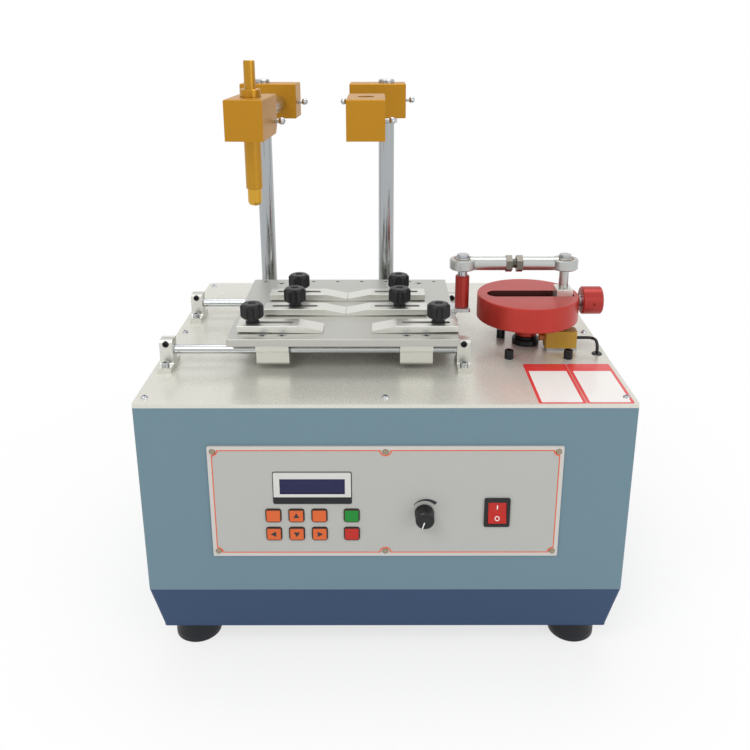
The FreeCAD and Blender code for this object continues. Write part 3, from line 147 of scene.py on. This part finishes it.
def make_finish(name, code, rough, metal=0.0, grain=0.9, stretch=(1, 1, 1), spread=0.06, bump=0.05, coat=0.0,
                specular=0.5, zones=()):
    """Makes a material and keeps it under its name."""
    mat = bpy.data.materials.new(name)
    mat.use_nodes = True
    tree = mat.node_tree
    coords = add_node(tree, "ShaderNodeTexCoord").outputs["Object"]
    split = add_node(tree, "ShaderNodeSeparateXYZ", {0: coords})
    drawn = add_node(tree, "ShaderNodeMapping", {"Vector": coords, "Scale": stretch}).outputs[0]
    fine = add_node(tree, "ShaderNodeTexNoise", {"Vector": drawn, "Scale": grain / MM, "Detail": 3.0}).outputs["Fac"]
    broad = add_node(tree, "ShaderNodeTexNoise", {"Vector": coords, "Scale": BROAD / MM, "Detail": 2.0}).outputs["Fac"]
    mixed = add_node(tree, "ShaderNodeMix", {0: BROAD_SHARE, 2: fine, 3: broad}).outputs[0]
    base = linear(code)
    dark = tuple(c * (1 - spread) for c in base[:3]) + (1.0,)
    light = tuple(min(1.0, c * (1 + spread)) for c in base[:3]) + (1.0,)
    smooth = rough * (1 - GLOSS_SPREAD)
    dull = min(1.0, rough * (1 + GLOSS_SPREAD))
    colour = add_node(tree, "ShaderNodeMix", {0: mixed, 6: dark, 7: light}, data_type="RGBA").outputs[2]
    roughness = add_node(tree, "ShaderNodeMix", {0: mixed, 2: smooth, 3: dull}).outputs[0]
    metallic = metal
    for low, high, zone_code, zone_rough, zone_metal in zones:
        there = inside(tree, split, low, high)
        tint = {0: there, 6: colour, 7: linear(zone_code)}
        colour = add_node(tree, "ShaderNodeMix", tint, data_type="RGBA").outputs[2]
        roughness = add_node(tree, "ShaderNodeMix", {0: there, 2: roughness, 3: zone_rough}).outputs[0]
        metallic = add_node(tree, "ShaderNodeMix", {0: there, 2: metallic, 3: zone_metal}).outputs[0]
    relief = add_node(tree, "ShaderNodeBump", {"Height": fine, "Strength": bump, "Distance": RELIEF}).outputs[0]
    fill(tree, tree.nodes["Principled BSDF"], {
        "Base Color": colour, "Roughness": roughness, "Metallic": metallic, "Normal": relief,
        "Coat Weight": coat, "Coat Roughness": COAT_ROUGH, "Specular IOR Level": specular})
    MATS[name] = mat
    print("finish:", name)


# %% [markdown]
# ## Painted sheet metal
#
# The housing is powder-coated steel: an even blue grey with a faint orange peel. Its lower band is folded inwards and
# faces down, away from the light. A zone below the fold paints that shade as a darker blue, so it is painted shade on
# the same paint. The top plate has a pale satin finish whose brightness changes with the angle, which a share of metal
# under the colour gives.

# %%
KINK = 86.0
# Painted shade: the zone below the fold colours the downward-facing lower band a darker blue for the shade it lies in.
make_finish("housing_paint", "6a8592", 0.38, grain=1.4, spread=0.03, bump=0.12, specular=0.3, zones=(
    zone(OPEN, (None, None, KINK), "2a4466", 0.38),))
make_finish("white_paint", "d6d5cc", 0.27, 0.34, grain=1.6, spread=0.02, bump=0.02)

# %% [markdown]
# ## The front panel's film
#
# The panel is a printed plastic film on sheet metal: a thin gloss coat over a flat grey gives its soft sheen. Outside
# its orange line it is a little paler, which four open boxes give, each beyond one side of the line.

# %%
LINE_HALF_W = 174.0
LINE_TOP = -49.5
LINE_LOW = -167.5
PAST_LINE = 0.6
MARGIN = "c6c3bf"
make_finish("panel_grey", "b0b0ac", 0.24, grain=0.5, spread=0.015, bump=0.01, coat=0.35, zones=(
    zone(OPEN, (-LINE_HALF_W - PAST_LINE, None, None), MARGIN, 0.24),
    zone((LINE_HALF_W + PAST_LINE, None, None), OPEN, MARGIN, 0.24),
    zone((None, None, PLATE_Z + LINE_TOP + PAST_LINE), OPEN, MARGIN, 0.24),
    zone(OPEN, (None, None, PLATE_Z + LINE_LOW - PAST_LINE), MARGIN, 0.24)))

# %% [markdown]
# ## The display
#
# The display is one node: a pale matt frame, a dark blue window that is glossier than the rest, and a black band under
# it. Two zones paint the window and the band, which is simpler than three nested solids.

# %%
WINDOW_X = (-107.0, -41.0)
WINDOW_H = (-98.0, -80.8)
BAND_TOP = -101.5
make_finish("display", "cfd0cc", 0.3, grain=0.9, spread=0.03, specular=0.3, zones=(
    zone((WINDOW_X[0], None, PLATE_Z + WINDOW_H[0]), (WINDOW_X[1], None, PLATE_Z + WINDOW_H[1]), "191d47", 0.16),
    zone(OPEN, (None, None, PLATE_Z + BAND_TOP), "1b1c20", 0.35)))

# %% [markdown]
# ## Moulded caps with dark rims
#
# The eight buttons are glossy raised caps with a dark rim. The rim could be a ring of its own. Four zones round the
# middle of the cap follow its rounded edge for nothing, and they go down with the cap when it is pressed. Where each
# cap is and how large it is also places its arrow later, so it is written once.

# %%
CAP_W = 16.0
CAP_H = 15.0
CAP_PROUD = 1.8
UPPER_ROW = -123.4
LOWER_ROW = -144.8
BUTTONS = {
    "button_set": (-114.5, UPPER_ROW, "orange"),
    "button_up": (-91.0, UPPER_ROW, "orange"),
    "button_clear": (-67.5, UPPER_ROW, "orange"),
    "button_left": (-114.5, LOWER_ROW, "orange"),
    "button_down": (-91.0, LOWER_ROW, "orange"),
    "button_right": (-67.5, LOWER_ROW, "orange"),
    "button_start": (-34.5, UPPER_ROW, "green"),
    "button_stop": (-34.5, LOWER_ROW, "red"),
}
CAP_CODES = {"orange": "d5622e", "green": "15842f", "red": "b9251d"}
RIM = "35211b"
RIM_W = 1.15
RIM_X = CAP_W / 2 - RIM_W
RIM_Z = CAP_H / 2 - RIM_W
for name, (x, h, colour) in BUTTONS.items():
    z = PLATE_Z + h
    make_finish(name + "_cap", CAP_CODES[colour], 0.36, grain=0.9, spread=0.04, specular=0.3, zones=(
        zone(OPEN, (x - RIM_X, None, None), RIM, 0.4),
        zone((x + RIM_X, None, None), OPEN, RIM, 0.4),
        zone(OPEN, (None, None, z - RIM_Z), RIM, 0.4),
        zone((None, None, z + RIM_Z), OPEN, RIM, 0.4)))

# %% [markdown]
# ## Plastic, rubber and ink
#
# Moulded black parts are matt with soft highlights, so their grain is strong and their reflections weak. Inks and
# stickers are flat: they have no relief, and a sticker's film adds a little gloss.

# %%
make_finish("black_rubber", "12141b", 0.45, grain=1.5, spread=0.2, bump=0.15, specular=0.35)
make_finish("black_plastic", "17181a", 0.36, grain=1.8, spread=0.2, bump=0.14, specular=0.35)
make_finish("red_plastic", "b9251d", 0.34, grain=0.9, spread=0.05, specular=0.3)
make_finish("ink", "23252a", 0.5, spread=0.1, bump=0.0)
make_finish("orange_line", "d9603a", 0.45, spread=0.05, bump=0.0)
make_finish("white_ink", "eef0f0", 0.45, spread=0.02, bump=0.0)
make_finish("sign_red", "d93a3a", 0.35, grain=0.7, spread=0.04, bump=0.0, coat=0.3)
make_finish("sign_white", "ebe9e6", 0.35, grain=0.7, spread=0.02, bump=0.0, coat=0.3)

# %% [markdown]
# ## Bare metals
#
# Columns and rails are ground and chromed steel: smooth, with a grain drawn out along the bar's length or round it.
# The plates, blocks and jaws are milled aluminium, satin and a little warm. Perfect metal would look like a mirror, so
# each has its own roughness and grain.

# %%
ALONG_X = (0.02, 1, 1)
ALONG_Z = (1, 1, 0.02)
STEEL = "b9bcc0"
make_finish("steel", STEEL, 0.24, 1.0, grain=2.5, stretch=(1, 1, 0.3), spread=0.05)
make_finish("column_steel", "a9acae", 0.16, 1.0, grain=1.8, stretch=(0.05, 0.05, 1), spread=0.08)
make_finish("rail_steel", "b7babd", 0.18, 1.0, grain=1.8, stretch=(1, 0.05, 0.05), spread=0.06)
make_finish("aluminium", "d9d9d3", 0.33, 0.85, grain=1.5, stretch=ALONG_X, spread=0.05, bump=0.10)
make_finish("table_aluminium", "bcbcb7", 0.36, 0.85, grain=1.3, stretch=ALONG_X, spread=0.05, bump=0.12)
make_finish("brass", "7d5f33", 0.35, 0.9, spread=0.08)
make_finish("black_metal", "17181b", 0.38, 0.5, grain=1.4, spread=0.2, bump=0.1)

# %% [markdown]
# ## Metal pieces in two finishes
#
# The rod's ends are zinc plated, with two dark nuts between them. The panel's six screws look warmer than those of the
# plate. The socket screws are bright in the feet of the rail supports, and black at their tops and round the crank.
# Pieces of both kinds share a node, so zones tell them apart.

# %%
NUTS_X = (137.4, 156.6)
CRANK_SCREWS_X = 120.0
CLAMP_SCREWS_H = 20.0
make_finish("zinc", "b7b9b7", 0.30, 0.95, grain=1.5, stretch=ALONG_X, spread=0.06, zones=(
    zone((NUTS_X[0], None, None), (NUTS_X[1], None, None), "716d66", 0.36, 0.9),))
make_finish("cover_screw_steel", STEEL, 0.24, 1.0, grain=2.5, spread=0.05, zones=(
    zone(OPEN, (None, FRONT, None), "9d907c", 0.22, 1.0),))
make_finish("socket_mixed", "b4b7ba", 0.28, 1.0, grain=1.5, spread=0.08, zones=(
    zone((None, None, PLATE_Z + CLAMP_SCREWS_H), (CRANK_SCREWS_X, None, None), "202125", 0.4, 0.5),
    zone((CRANK_SCREWS_X, None, None), OPEN, "17181b", 0.4, 0.4)))

# %% [markdown]
# ## Anodised metal
#
# Anodised aluminium keeps the sheen of the metal under a dyed layer, so it is part metal and part colour. The load
# pin's tip is paler, the wheel's slot is painted dark brown as painted shade, and the post and the radius knob have
# bare steel in them.

# %%
PIN_TIP = 486.4
SLOT_X = (117.5, 217.0)
SLOT_V = (155.7, 178.3)
SLOT_H = (41.0, 59.9)
POST_FOOT_H = 45.05
POST_TOP_H = 82.1
KNOB_SHAFT_X = 225.9
slot_shade_low = (SLOT_X[0], FRONT + SLOT_V[0], PLATE_Z + SLOT_H[0])
slot_shade_high = (SLOT_X[1], FRONT + SLOT_V[1], PLATE_Z + SLOT_H[1])
make_finish("gold_anodised", "b27d12", 0.40, 0.55, grain=1.7, spread=0.05, bump=0.12)
make_finish("pin_gold", "b58424", 0.30, 0.7, grain=1.5, stretch=ALONG_Z, spread=0.06, zones=(
    zone(OPEN, (None, None, PIN_TIP), "c99a36", 0.26, 0.8),))
# Painted shade: the slot's box is coloured dark brown for the shade inside the open slot.
make_finish("wheel_red", "b5342b", 0.34, 0.45, grain=1.6, spread=0.07, bump=0.10, zones=(
    zone(slot_shade_low, slot_shade_high, "431512", 0.45, 0.3),))
make_finish("post_red", "a52f28", 0.34, 0.45, grain=1.6, zones=(
    zone((None, None, PLATE_Z + POST_TOP_H), OPEN, STEEL, 0.24, 1.0),
    zone(OPEN, (None, None, PLATE_Z + POST_FOOT_H), "c9cbce", 0.34, 0.9)))
make_finish("knob_red", "a5302a", 0.34, 0.45, grain=1.6, spread=0.07, zones=(
    zone(OPEN, (KNOB_SHAFT_X, None, None), "b2b5b8", 0.25, 1.0),))

# %% [markdown]
# ## The index sensor
#
# The sensor is a moulded yellow body on a bare steel bracket, and its nose is orange. It is one node, so the bracket
# is what lies low on the plate, and the nose what stands out to the left.

# %%
NOSE_X = 182.95
BRACKET_H = 2.9
make_finish("sensor_yellow", "b98f2f", 0.42, grain=1.2, spread=0.05, zones=(
    zone(OPEN, (NOSE_X, None, None), "b5662b", 0.35),
    zone(OPEN, (None, None, PLATE_Z + BRACKET_H), STEEL, 0.3, 0.9)))

# %% [markdown]
# ## Dressing the nodes
#
# Each node of the model has one slot, and a table says which finish it gets. Jaws, star knobs and clamp blocks come in
# families, so their names decide. What is left is plain steel: screws, collars and arms.

# %%
NODE_MATS = {
    "housing": "housing_paint", "base_plate": "housing_paint", "feet": "black_rubber",
    "cover_screws": "cover_screw_steel", "top_plate": "white_paint", "front_panel": "panel_grey",
    "display_window": "display", "electronics": "black_plastic", "rocker_bezel": "black_plastic",
    "inlet_socket": "black_plastic", "gear_motor": "black_metal", "rail_supports": "aluminium",
    "guide_rails": "rail_steel", "socket_screws": "socket_mixed", "columns": "column_steel",
    "sensor_body": "sensor_yellow", "sensor_cable": "black_plastic", "crank_wheel": "wheel_red",
    "crank_block": "aluminium", "radius_knob": "knob_red", "connecting_rod": "zinc",
    "table_plate": "table_aluminium", "bearing_blocks": "aluminium", "rod_post": "post_red",
    "speed_knob": "black_plastic", "power_rocker": "red_plastic", "load_pin": "pin_gold",
}


def finish_for(node):
    """The finish of a node, by its own name or by its family's."""
    if node in NODE_MATS:
        return NODE_MATS[node]
    if node in BUTTONS:
        return node + "_cap"
    if node.startswith("jaw_"):
        return "aluminium"
    if node.startswith("star_knob_"):
        return "black_plastic"
    if node.endswith("column_clamp") or node.endswith("pin_block"):
        return "gold_anodised"
    return "steel"


for node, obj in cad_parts.items():
    for slot in obj.material_slots:
        slot.material = MATS[finish_for(node)]
print("finishes:", len(MATS))

# %% [markdown]
# ## From a bmesh to a piece
#
# Every added piece is one mesh. Bridging and spinning can leave faces inside out, so its normals are recalculated
# before it becomes an object. It then rides on a body and names the slot whose finish it belongs to.

# %%
def finish_piece(name, bm, mat, body):
    """Turns a bmesh into an object, gives it its finish, and hangs it on a body."""
    mesh = bpy.data.meshes.new(name)
    bmesh.ops.recalc_face_normals(bm, faces=bm.faces)
    bm.to_mesh(mesh)
    bm.free()
    obj = bpy.data.objects.new(name, mesh)
    bpy.context.collection.objects.link(obj)
    obj.data.materials.append(MATS[mat])
    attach(obj, body)
    print(name, "rides on", body, "with", len(mesh.polygons), "faces")


# %% [markdown]
# ## Thin plates and rings
#
# Print and stickers are films a tenth of a millimetre thick. A flat picture of them would blur close up. A thin plate
# keeps crisp edges at any distance, and it is quick: one closed line is filled, or two are bridged into a ring, and an
# extrusion gives the thickness.

# %%
def closed_line(bm, points, place, w=0.0):
    """Edges through flat points. place(u, v, w) puts them in space, with w as the height over the surface."""
    corners = [bm.verts.new(place(u, v, w)) for u, v in points]
    return [bm.edges.new(pair) for pair in zip(corners, corners[1:] + corners[:1])]


def raise_up(bm, grown, place, thick):
    """Moves what an extrusion has made away from the surface under it."""
    corners = [item for item in grown if isinstance(item, bmesh.types.BMVert)]
    bmesh.ops.translate(bm, verts=corners, vec=place(0, 0, thick) - place(0, 0, 0))


def slab(bm, outline, place, thick, hole=()):
    """A thin plate, or a ring where it has a hole."""
    edges = closed_line(bm, outline, place)
    if hole:
        faces = bmesh.ops.bridge_loops(bm, edges=edges + closed_line(bm, hole, place))["faces"]
    else:
        faces = bmesh.ops.edgeloop_fill(bm, edges=edges)["faces"]
    raise_up(bm, bmesh.ops.extrude_face_region(bm, geom=faces)["geom"], place, thick)


# %% [markdown]
# ## Outlines
#
# Three outlines return: a circle, a rectangle with rounded corners, and the two edges of a line that has a width.

# %%
def circle(r, x, y, count=40):
    """Points round a circle."""
    turns = [2 * math.pi * k / count for k in range(count)]
    return [(x + r * math.cos(a), y + r * math.sin(a)) for a in turns]


def rounded(w, h, r, x=0.0, y=0.0, steps=6):
    """The outline of a rounded rectangle, anticlockwise from its right side."""
    right = w / 2 - r
    top = h / 2 - r
    points = []
    for cx, cy, start in ((right, top, 0), (-right, top, 90), (-right, -top, 180), (right, -top, 270)):
        for k in range(steps + 1):
            a = math.radians(start + 90 * k / steps)
            points.append((x + cx + r * math.cos(a), y + cy + r * math.sin(a)))
    return points


def ribbon(points, width):
    """Two outlines beside a closed line, half a width outside and half a width inside it."""
    outer = []
    inner = []
    for k, point in enumerate(points):
        here = Vector(point)
        before = here - Vector(points[k - 1])
        after = Vector(points[(k + 1) % len(points)]) - here
        along = (before.normalized() + after.normalized()).normalized()
        side = Vector((along.y, -along.x)) * width / 2
        outer.append(tuple(here + side))
        inner.append(tuple(here - side))
    return outer, inner


# %% [markdown]
# ## The line round the panel
#
# A thin orange line runs round the front panel and bows inward round each of the six screws. A curve with a bevel
# could follow it, but would be round like a wire. Straight runs and six arcs about the screws give its middle, and the
# ribbon beside it is flat, as print is.

# %%
PRINT = 0.12
LINE_W = 1.5
SCREW_BOW = 5.6


def arc(cx, cy, start, end, steps=10):
    """Points round a screw, from one angle to another."""
    turns = [math.radians(start + (end - start) * k / steps) for k in range(steps + 1)]
    return [(cx + SCREW_BOW * math.cos(a), cy + SCREW_BOW * math.sin(a)) for a in turns]


border = arc(LINE_HALF_W, LINE_TOP, 270, 180) + arc(0, LINE_TOP, 360, 180, 16) + arc(-LINE_HALF_W, LINE_TOP, 360, 270)
border += arc(-LINE_HALF_W, LINE_LOW, 90, 0) + arc(0, LINE_LOW, 180, 0, 16) + arc(LINE_HALF_W, LINE_LOW, 180, 90)
outer, inner = ribbon(border, LINE_W)
bm = bmesh.new()
slab(bm, outer, on_panel, PRINT, inner)
finish_piece("panel_border_line", bm, "orange_line", "frame")

# %% [markdown]
# ## The display's outline
#
# A fine dark line frames the display. It is the ring between two rounded rectangles.

# %%
OUTLINE_SIZE = (80.4, 37.2)
OUTLINE_MID = (-74.1, -91.7)
OUTLINE_R = 2.2
HOLE_SIZE = (78.6, 35.4)
HOLE_R = 1.6
bm = bmesh.new()
slab(bm, rounded(*OUTLINE_SIZE, OUTLINE_R, *OUTLINE_MID), on_panel, PRINT, rounded(*HOLE_SIZE, HOLE_R, *OUTLINE_MID))
finish_piece("display_outline", bm, "ink", "frame")

# %% [markdown]
# ## The arrows
#
# Four caps carry a solid triangle, whose tip is blunt as printed tips are. Each arrow rides on its own button, so it
# goes down with the cap. One triangle is turned for all four.

# %%
ARROW = ((-3.1, -2.2), (3.1, -2.2), (0.35, 3.0), (-0.35, 3.0))


def on_cap(u, v, w):
    """A point on the front of a button's cap."""
    return on_panel(u, v, CAP_PROUD + w)


for name, turn in (("button_up", 0), ("button_left", 90), ("button_down", 180), ("button_right", 270)):
    x, h, _ = BUTTONS[name]
    a = math.radians(turn)
    corners = [(x + u * math.cos(a) - v * math.sin(a), h + u * math.sin(a) + v * math.cos(a)) for u, v in ARROW]
    bm = bmesh.new()
    slab(bm, corners, on_cap, PRINT)
    finish_piece(name + "_arrow", bm, "ink", name)

# %% [markdown]
# ## The speed arc
#
# A tapered arc over the knob shows which way the speed rises. Its inner edge is part of a circle, and its outer edge
# moves away from it step by step. Its rim is extruded from its outline and its face filled. The back, which lies on
# the panel, stays open.

# %%
KNOB = (39.8, -120.6)
ARC_R = 13.8
ARC_STEPS = 24
ARC_START = 142
ARC_TURN = 100
ARC_THIN = 0.4
ARC_GROWTH = 3.4


def round_knob(k, r):
    """A point beside the knob at a step of the arc."""
    a = math.radians(ARC_START - ARC_TURN * k / ARC_STEPS)
    return (KNOB[0] + r * math.cos(a), KNOB[1] + r * math.sin(a))


steps = range(ARC_STEPS + 1)
outline = [round_knob(k, ARC_R + (ARC_THIN + ARC_GROWTH * k / ARC_STEPS)) for k in steps]
outline += [round_knob(k, ARC_R) for k in reversed(steps)]
bm = bmesh.new()
grown = bmesh.ops.extrude_edge_only(bm, edges=closed_line(bm, outline, on_panel))["geom"]
raise_up(bm, grown, on_panel, PRINT)
bmesh.ops.edgeloop_fill(bm, edges=[item for item in grown if isinstance(item, bmesh.types.BMEdge)])
finish_piece("speed_arc", bm, "ink", "frame")

# %% [markdown]
# ## The knob's pointer and ring
#
# The knob's face has a white stroke and a fine ring. Both are paint, so they are about half as thick as the other
# print, and they turn with the knob.

# %%
KNOB_OUT = 16.0
KNOB_PRINT = 0.05
POINTER = math.radians(198)
STROKE_HALF_W = 0.55
STROKE_FROM = 1.5
STROKE_TO = 8.6


def on_knob(u, v, w):
    """A point on the knob's face."""
    return on_panel(u, v, KNOB_OUT + w)


side = Vector((math.cos(POINTER), -math.sin(POINTER))) * STROKE_HALF_W
up = Vector((math.sin(POINTER), math.cos(POINTER)))
stroke = [side + up * STROKE_FROM, side + up * STROKE_TO, up * STROKE_TO - side, up * STROKE_FROM - side]
bm = bmesh.new()
slab(bm, [(KNOB[0] + p.x, KNOB[1] + p.y) for p in stroke], on_knob, KNOB_PRINT)
finish_piece("speed_pointer", bm, "white_ink", "speed_knob")

bm = bmesh.new()
slab(bm, circle(6.3, *KNOB), on_knob, KNOB_PRINT, circle(5.9, *KNOB))
finish_piece("speed_knob_ring", bm, "black_metal", "speed_knob")

# %% [markdown]
# ## The marks on the switch
#
# The rocker carries the usual stroke and ring. Its two faces slant away from its middle, and the whole rocker rests
# tilted, so a function of its own puts the marks on it.

# %%
ROCKER_TILT = math.radians(-8)
ROCKER_PIVOT = on_plate(114, 0, -120)
ROCKER_FACE = 3.4049
ROCKER_SLOPE = 1.5951 / 11.35
MARK = 0.1


def on_rocker(u, v, w):
    """A point on the rocker's slanting faces, at u across and v up from its pivot, w out of the face."""
    y = -ROCKER_FACE - ROCKER_SLOPE * abs(v) - w
    return Matrix.Rotation(ROCKER_TILT, 3, "X") @ Vector((u * MM, y * MM, v * MM)) + ROCKER_PIVOT


bm = bmesh.new()
slab(bm, [(-0.5, 3.6), (0.5, 3.6), (0.5, 8.2), (-0.5, 8.2)], on_rocker, MARK)
slab(bm, circle(2.5, 0.0, -6.2, 32), on_rocker, MARK, circle(1.7, 0.0, -6.2, 32))
finish_piece("rocker_marks", bm, "white_ink", "power_rocker")

# %% [markdown]
# ## Two blank panels on the top plate
#
# Two thin plastic stickers lie side by side in front of the wheel. Each is a red film with a white field on it, made
# as two plates, so that the edge between the colours is sharp. They carry no word or sign.

# %%
FILM = 0.15
FIELD = 0.05
FILM_LENGTH = 99.0
FILM_MID = 51.5
FIELD_LENGTH = 77.0
FIELD_MID = 43.0
FIELD_MARGIN = 3.2


def on_film(u, v, w):
    """A point on a sticker that lies on the plate."""
    return on_plate(u, v, FILM + w)


for name, x0, x1 in (("left", 151.0, 198.0), ("right", 198.6, 245.5)):
    mid = (x0 + x1) / 2
    w = x1 - x0
    bm = bmesh.new()
    slab(bm, rounded(w, FILM_LENGTH, 2.0, mid, FILM_MID), on_plate, FILM)
    finish_piece("blank_panel_" + name, bm, "sign_red", "frame")
    bm = bmesh.new()
    slab(bm, rounded(w - 2 * FIELD_MARGIN, FIELD_LENGTH, 1.0, mid, FIELD_MID), on_film, FIELD)
    finish_piece("blank_panel_" + name + "_field", bm, "sign_white", "frame")

# %% [markdown]
# ## Threads
#
# The rod's stud and the lead screw are threaded, and the model has plain bars. A bump pattern would leave their
# outline smooth. A ridge with a triangular section, spun round the bar and moved along it at every step, is the same
# motion as a die cutting the thread. The lead screw's crest stays inside the bore of the crank block that runs on it.

# %%
PITCH = 1.25
RISE = 0.34 * PITCH
HALF_FOOT = 0.42 * PITCH
SUNK = 0.05
STEPS_PER_TURN = 16
AXIS = Vector((1, 0, 0))


def thread(name, start, radius, length, body, mat):
    """A ridge that winds from start round a bar along X."""
    bm = bmesh.new()
    out = AXIS.orthogonal().normalized()
    section = ((-HALF_FOOT, -SUNK), (0.0, RISE), (HALF_FOOT, -SUNK))
    corners = [bm.verts.new(start + (AXIS * along + out * (radius + rise)) * MM) for along, rise in section]
    first = bmesh.ops.contextual_create(bm, geom=corners)["faces"]
    steps = int(length / PITCH * STEPS_PER_TURN)
    bmesh.ops.spin(bm, geom=first, cent=start, axis=AXIS, dvec=AXIS * PITCH / STEPS_PER_TURN * MM,
                   angle=2 * math.pi * steps / STEPS_PER_TURN, steps=steps)
    finish_piece(name, bm, mat, body)


thread("rod_stud_thread", on_plate(144.9, 167, 96), 4.9, 4.2, "connecting_rod", "zinc")
thread("lead_screw_thread", on_plate(119.5, 167, 52), 3.62, 74.0, "radius_knob", "steel")

# %% [markdown]
# ## The races in the rod's ends
#
# A brass race shows round the bolt of each ball end. Seen from above it is a thin ring on the eye's face, so a ring
# says enough, and the ball under it needn't be built.

# %%
EYE_TOP = 102.0


def on_eye(u, v, w):
    """A point on the upper face of the rod's eyes."""
    return on_plate(u, v, EYE_TOP + w)


for name, x in (("left", 89.0), ("right", 205.0)):
    bm = bmesh.new()
    slab(bm, circle(10.2, x, 167.0), on_eye, PRINT, circle(7.4, x, 167.0))
    finish_piece("rod_race_" + name, bm, "brass", "connecting_rod")

# %% [markdown]
# ## The floor's finish
#
# The floor is white paper. Lamps strong enough to make it white in the picture would burn out the tester, so it glows
# for the camera and for reflections instead, and stays a plain pale surface for all other light. The glow takes over
# between 0.3 and 0.8 m from the origin, so the floor near the feet keeps a soft shadow.

# %%
GLOW_FROM = 0.3
GLOW_FULL = 0.8
GLOW_NEAR = 0.72


def seen_white(tree):
    """1 for what the camera sees, directly or in a reflection, and 0 for all other light."""
    path = add_node(tree, "ShaderNodeLightPath")
    rays = {0: path.outputs["Is Camera Ray"], 1: path.outputs["Is Glossy Ray"]}
    return add_node(tree, "ShaderNodeMath", rays, operation="MAXIMUM").outputs[0]


def floor_paper():
    """White for the camera and for reflections, and pale and dull for all other light."""
    mat = bpy.data.materials.new("stage_white")
    mat.use_nodes = True
    tree = mat.node_tree
    shader = tree.nodes["Principled BSDF"]
    fill(tree, shader, {"Base Color": (0.97, 0.97, 0.97, 1.0), "Roughness": 0.9})
    glow = add_node(tree, "ShaderNodeEmission", {"Color": (1, 1, 1, 1), "Strength": 1.0}).outputs[0]
    coords = add_node(tree, "ShaderNodeTexCoord").outputs["Object"]
    away = add_node(tree, "ShaderNodeVectorMath", {0: coords}, operation="LENGTH").outputs["Value"]
    share = add_node(tree, "ShaderNodeMapRange", {
        "Value": away, "From Min": GLOW_FROM, "From Max": GLOW_FULL, "To Min": GLOW_NEAR, "To Max": 1.0}).outputs[0]
    part = add_node(tree, "ShaderNodeMath", {0: seen_white(tree), 1: share}, operation="MULTIPLY").outputs[0]
    both = add_node(tree, "ShaderNodeMixShader", {0: part, 1: shader.outputs[0], 2: glow}).outputs[0]
    fill(tree, tree.nodes["Material Output"], {"Surface": both})
    return mat


# %% [markdown]
# ## The floor's shape
#
# A photographer's sweep is one sheet that curves up into a wall, so that no horizon shows. Its side view is a line
# with a quarter turn in it, spun from one point, and one extrusion draws it 8 m wide. It lies a hair under the feet.

# %%
FLOOR_HALF = 4.0
WALL_Y = 2.4
WALL_TOP = 4.0
CURVE = 0.8
UNDER_FEET = Vector((0, 0, -0.4 * MM))

bm = bmesh.new()
front = bm.verts.new(Vector((-FLOOR_HALF, -FLOOR_HALF, 0)) + UNDER_FEET)
foot = bm.verts.new(Vector((-FLOOR_HALF, WALL_Y - CURVE, 0)) + UNDER_FEET)
bmesh.ops.spin(bm, geom=[foot], cent=foot.co + Vector((0, 0, CURVE)), axis=(1, 0, 0), angle=math.radians(90), steps=9)
bend = max(bm.verts, key=lambda corner: corner.co.z)
wall = bm.verts.new(Vector((-FLOOR_HALF, WALL_Y, WALL_TOP)) + UNDER_FEET)
bm.edges.new((front, foot))
bm.edges.new((bend, wall))
drawn = bmesh.ops.extrude_edge_only(bm, edges=bm.edges[:])["geom"]
far = [item for item in drawn if isinstance(item, bmesh.types.BMVert)]
bmesh.ops.translate(bm, verts=far, vec=(2 * FLOOR_HALF, 0, 0))
mesh = bpy.data.meshes.new("studio_floor")
bm.to_mesh(mesh)
bm.free()
floor = bpy.data.objects.new("studio_floor", mesh)
bpy.context.collection.objects.link(floor)
floor.data.materials.append(floor_paper())
for face in floor.data.polygons:
    face.use_smooth = True
print("floor:", len(mesh.polygons), "faces")

# %% [markdown]
# ## The room's light
#
# The world lights everything evenly at about half strength, and shows white to the camera and in reflections, as a
# white studio does. A picture of a room could light it too, but would bring its own colours.

# %%
ROOM = 0.55
world = bpy.data.worlds.new("studio")
bpy.context.scene.world = world
world.use_nodes = True
tree = world.node_tree
strength = add_node(tree, "ShaderNodeMix", {0: seen_white(tree), 2: ROOM, 3: 1.0}).outputs[0]
fill(tree, tree.nodes["Background"], {"Color": (1.0, 1.0, 0.985, 1.0), "Strength": strength})
print("room light:", ROOM)

# %% [markdown]
# ## Three lamps
#
# Three large soft lamps give the shapes their light side: one from the upper left, a weak one from the right, and one
# above. They are weak enough that a colour renders about as it is written. Small lamps would be crisper, and would
# throw hard shadows that the photograph doesn't have.

# %%
TARGET = Vector((0, 0, 0.3))


def area_light(name, place, size, power):
    """A soft rectangular lamp that looks at the middle of the tester."""
    data = bpy.data.lights.new(name, "AREA")
    data.shape = "RECTANGLE"
    data.size, data.size_y = size
    data.energy = power
    obj = bpy.data.objects.new(name, data)
    obj.location = place
    obj.rotation_euler = (TARGET - Vector(place)).to_track_quat("-Z", "Y").to_euler()
    bpy.context.collection.objects.link(obj)
    print("lamp:", name, power, "W")


area_light("key", (-0.9, -1.6, 2.0), (1.2, 0.8), 20)
area_light("fill", (1.5, -1.5, 1.0), (1.0, 1.0), 8)
area_light("top", (0.1, 0.5, 2.3), (1.6, 1.0), 14)

# %% [markdown]
# ## The camera
#
# The picture was taken from the front, about a metre away from the tester's middle and looking down on its plate. The
# lens is shifted down a little, as a cropped photograph needs, and no more, so that the tester also stays in the frame
# from other sides.

# %%
LENS = 39.764
SHIFT = (-0.00667, -0.12)
PLACE = (-0.00651, -0.93231, 0.65678)
LOOK_DOWN = 17.476
YAW = -0.0013

camera_data = bpy.data.cameras.new("camera")
camera_data.lens = LENS
camera_data.sensor_width = 36.0
camera_data.shift_x, camera_data.shift_y = SHIFT
camera_data.clip_start = 0.01
camera = bpy.data.objects.new("camera", camera_data)
camera.location = PLACE
camera.rotation_euler = (math.radians(90 - LOOK_DOWN), 0.0, YAW)
bpy.context.collection.objects.link(camera)
bpy.context.scene.camera = camera
bpy.context.scene.view_settings.view_transform = "Standard"
print("camera at", PLACE)
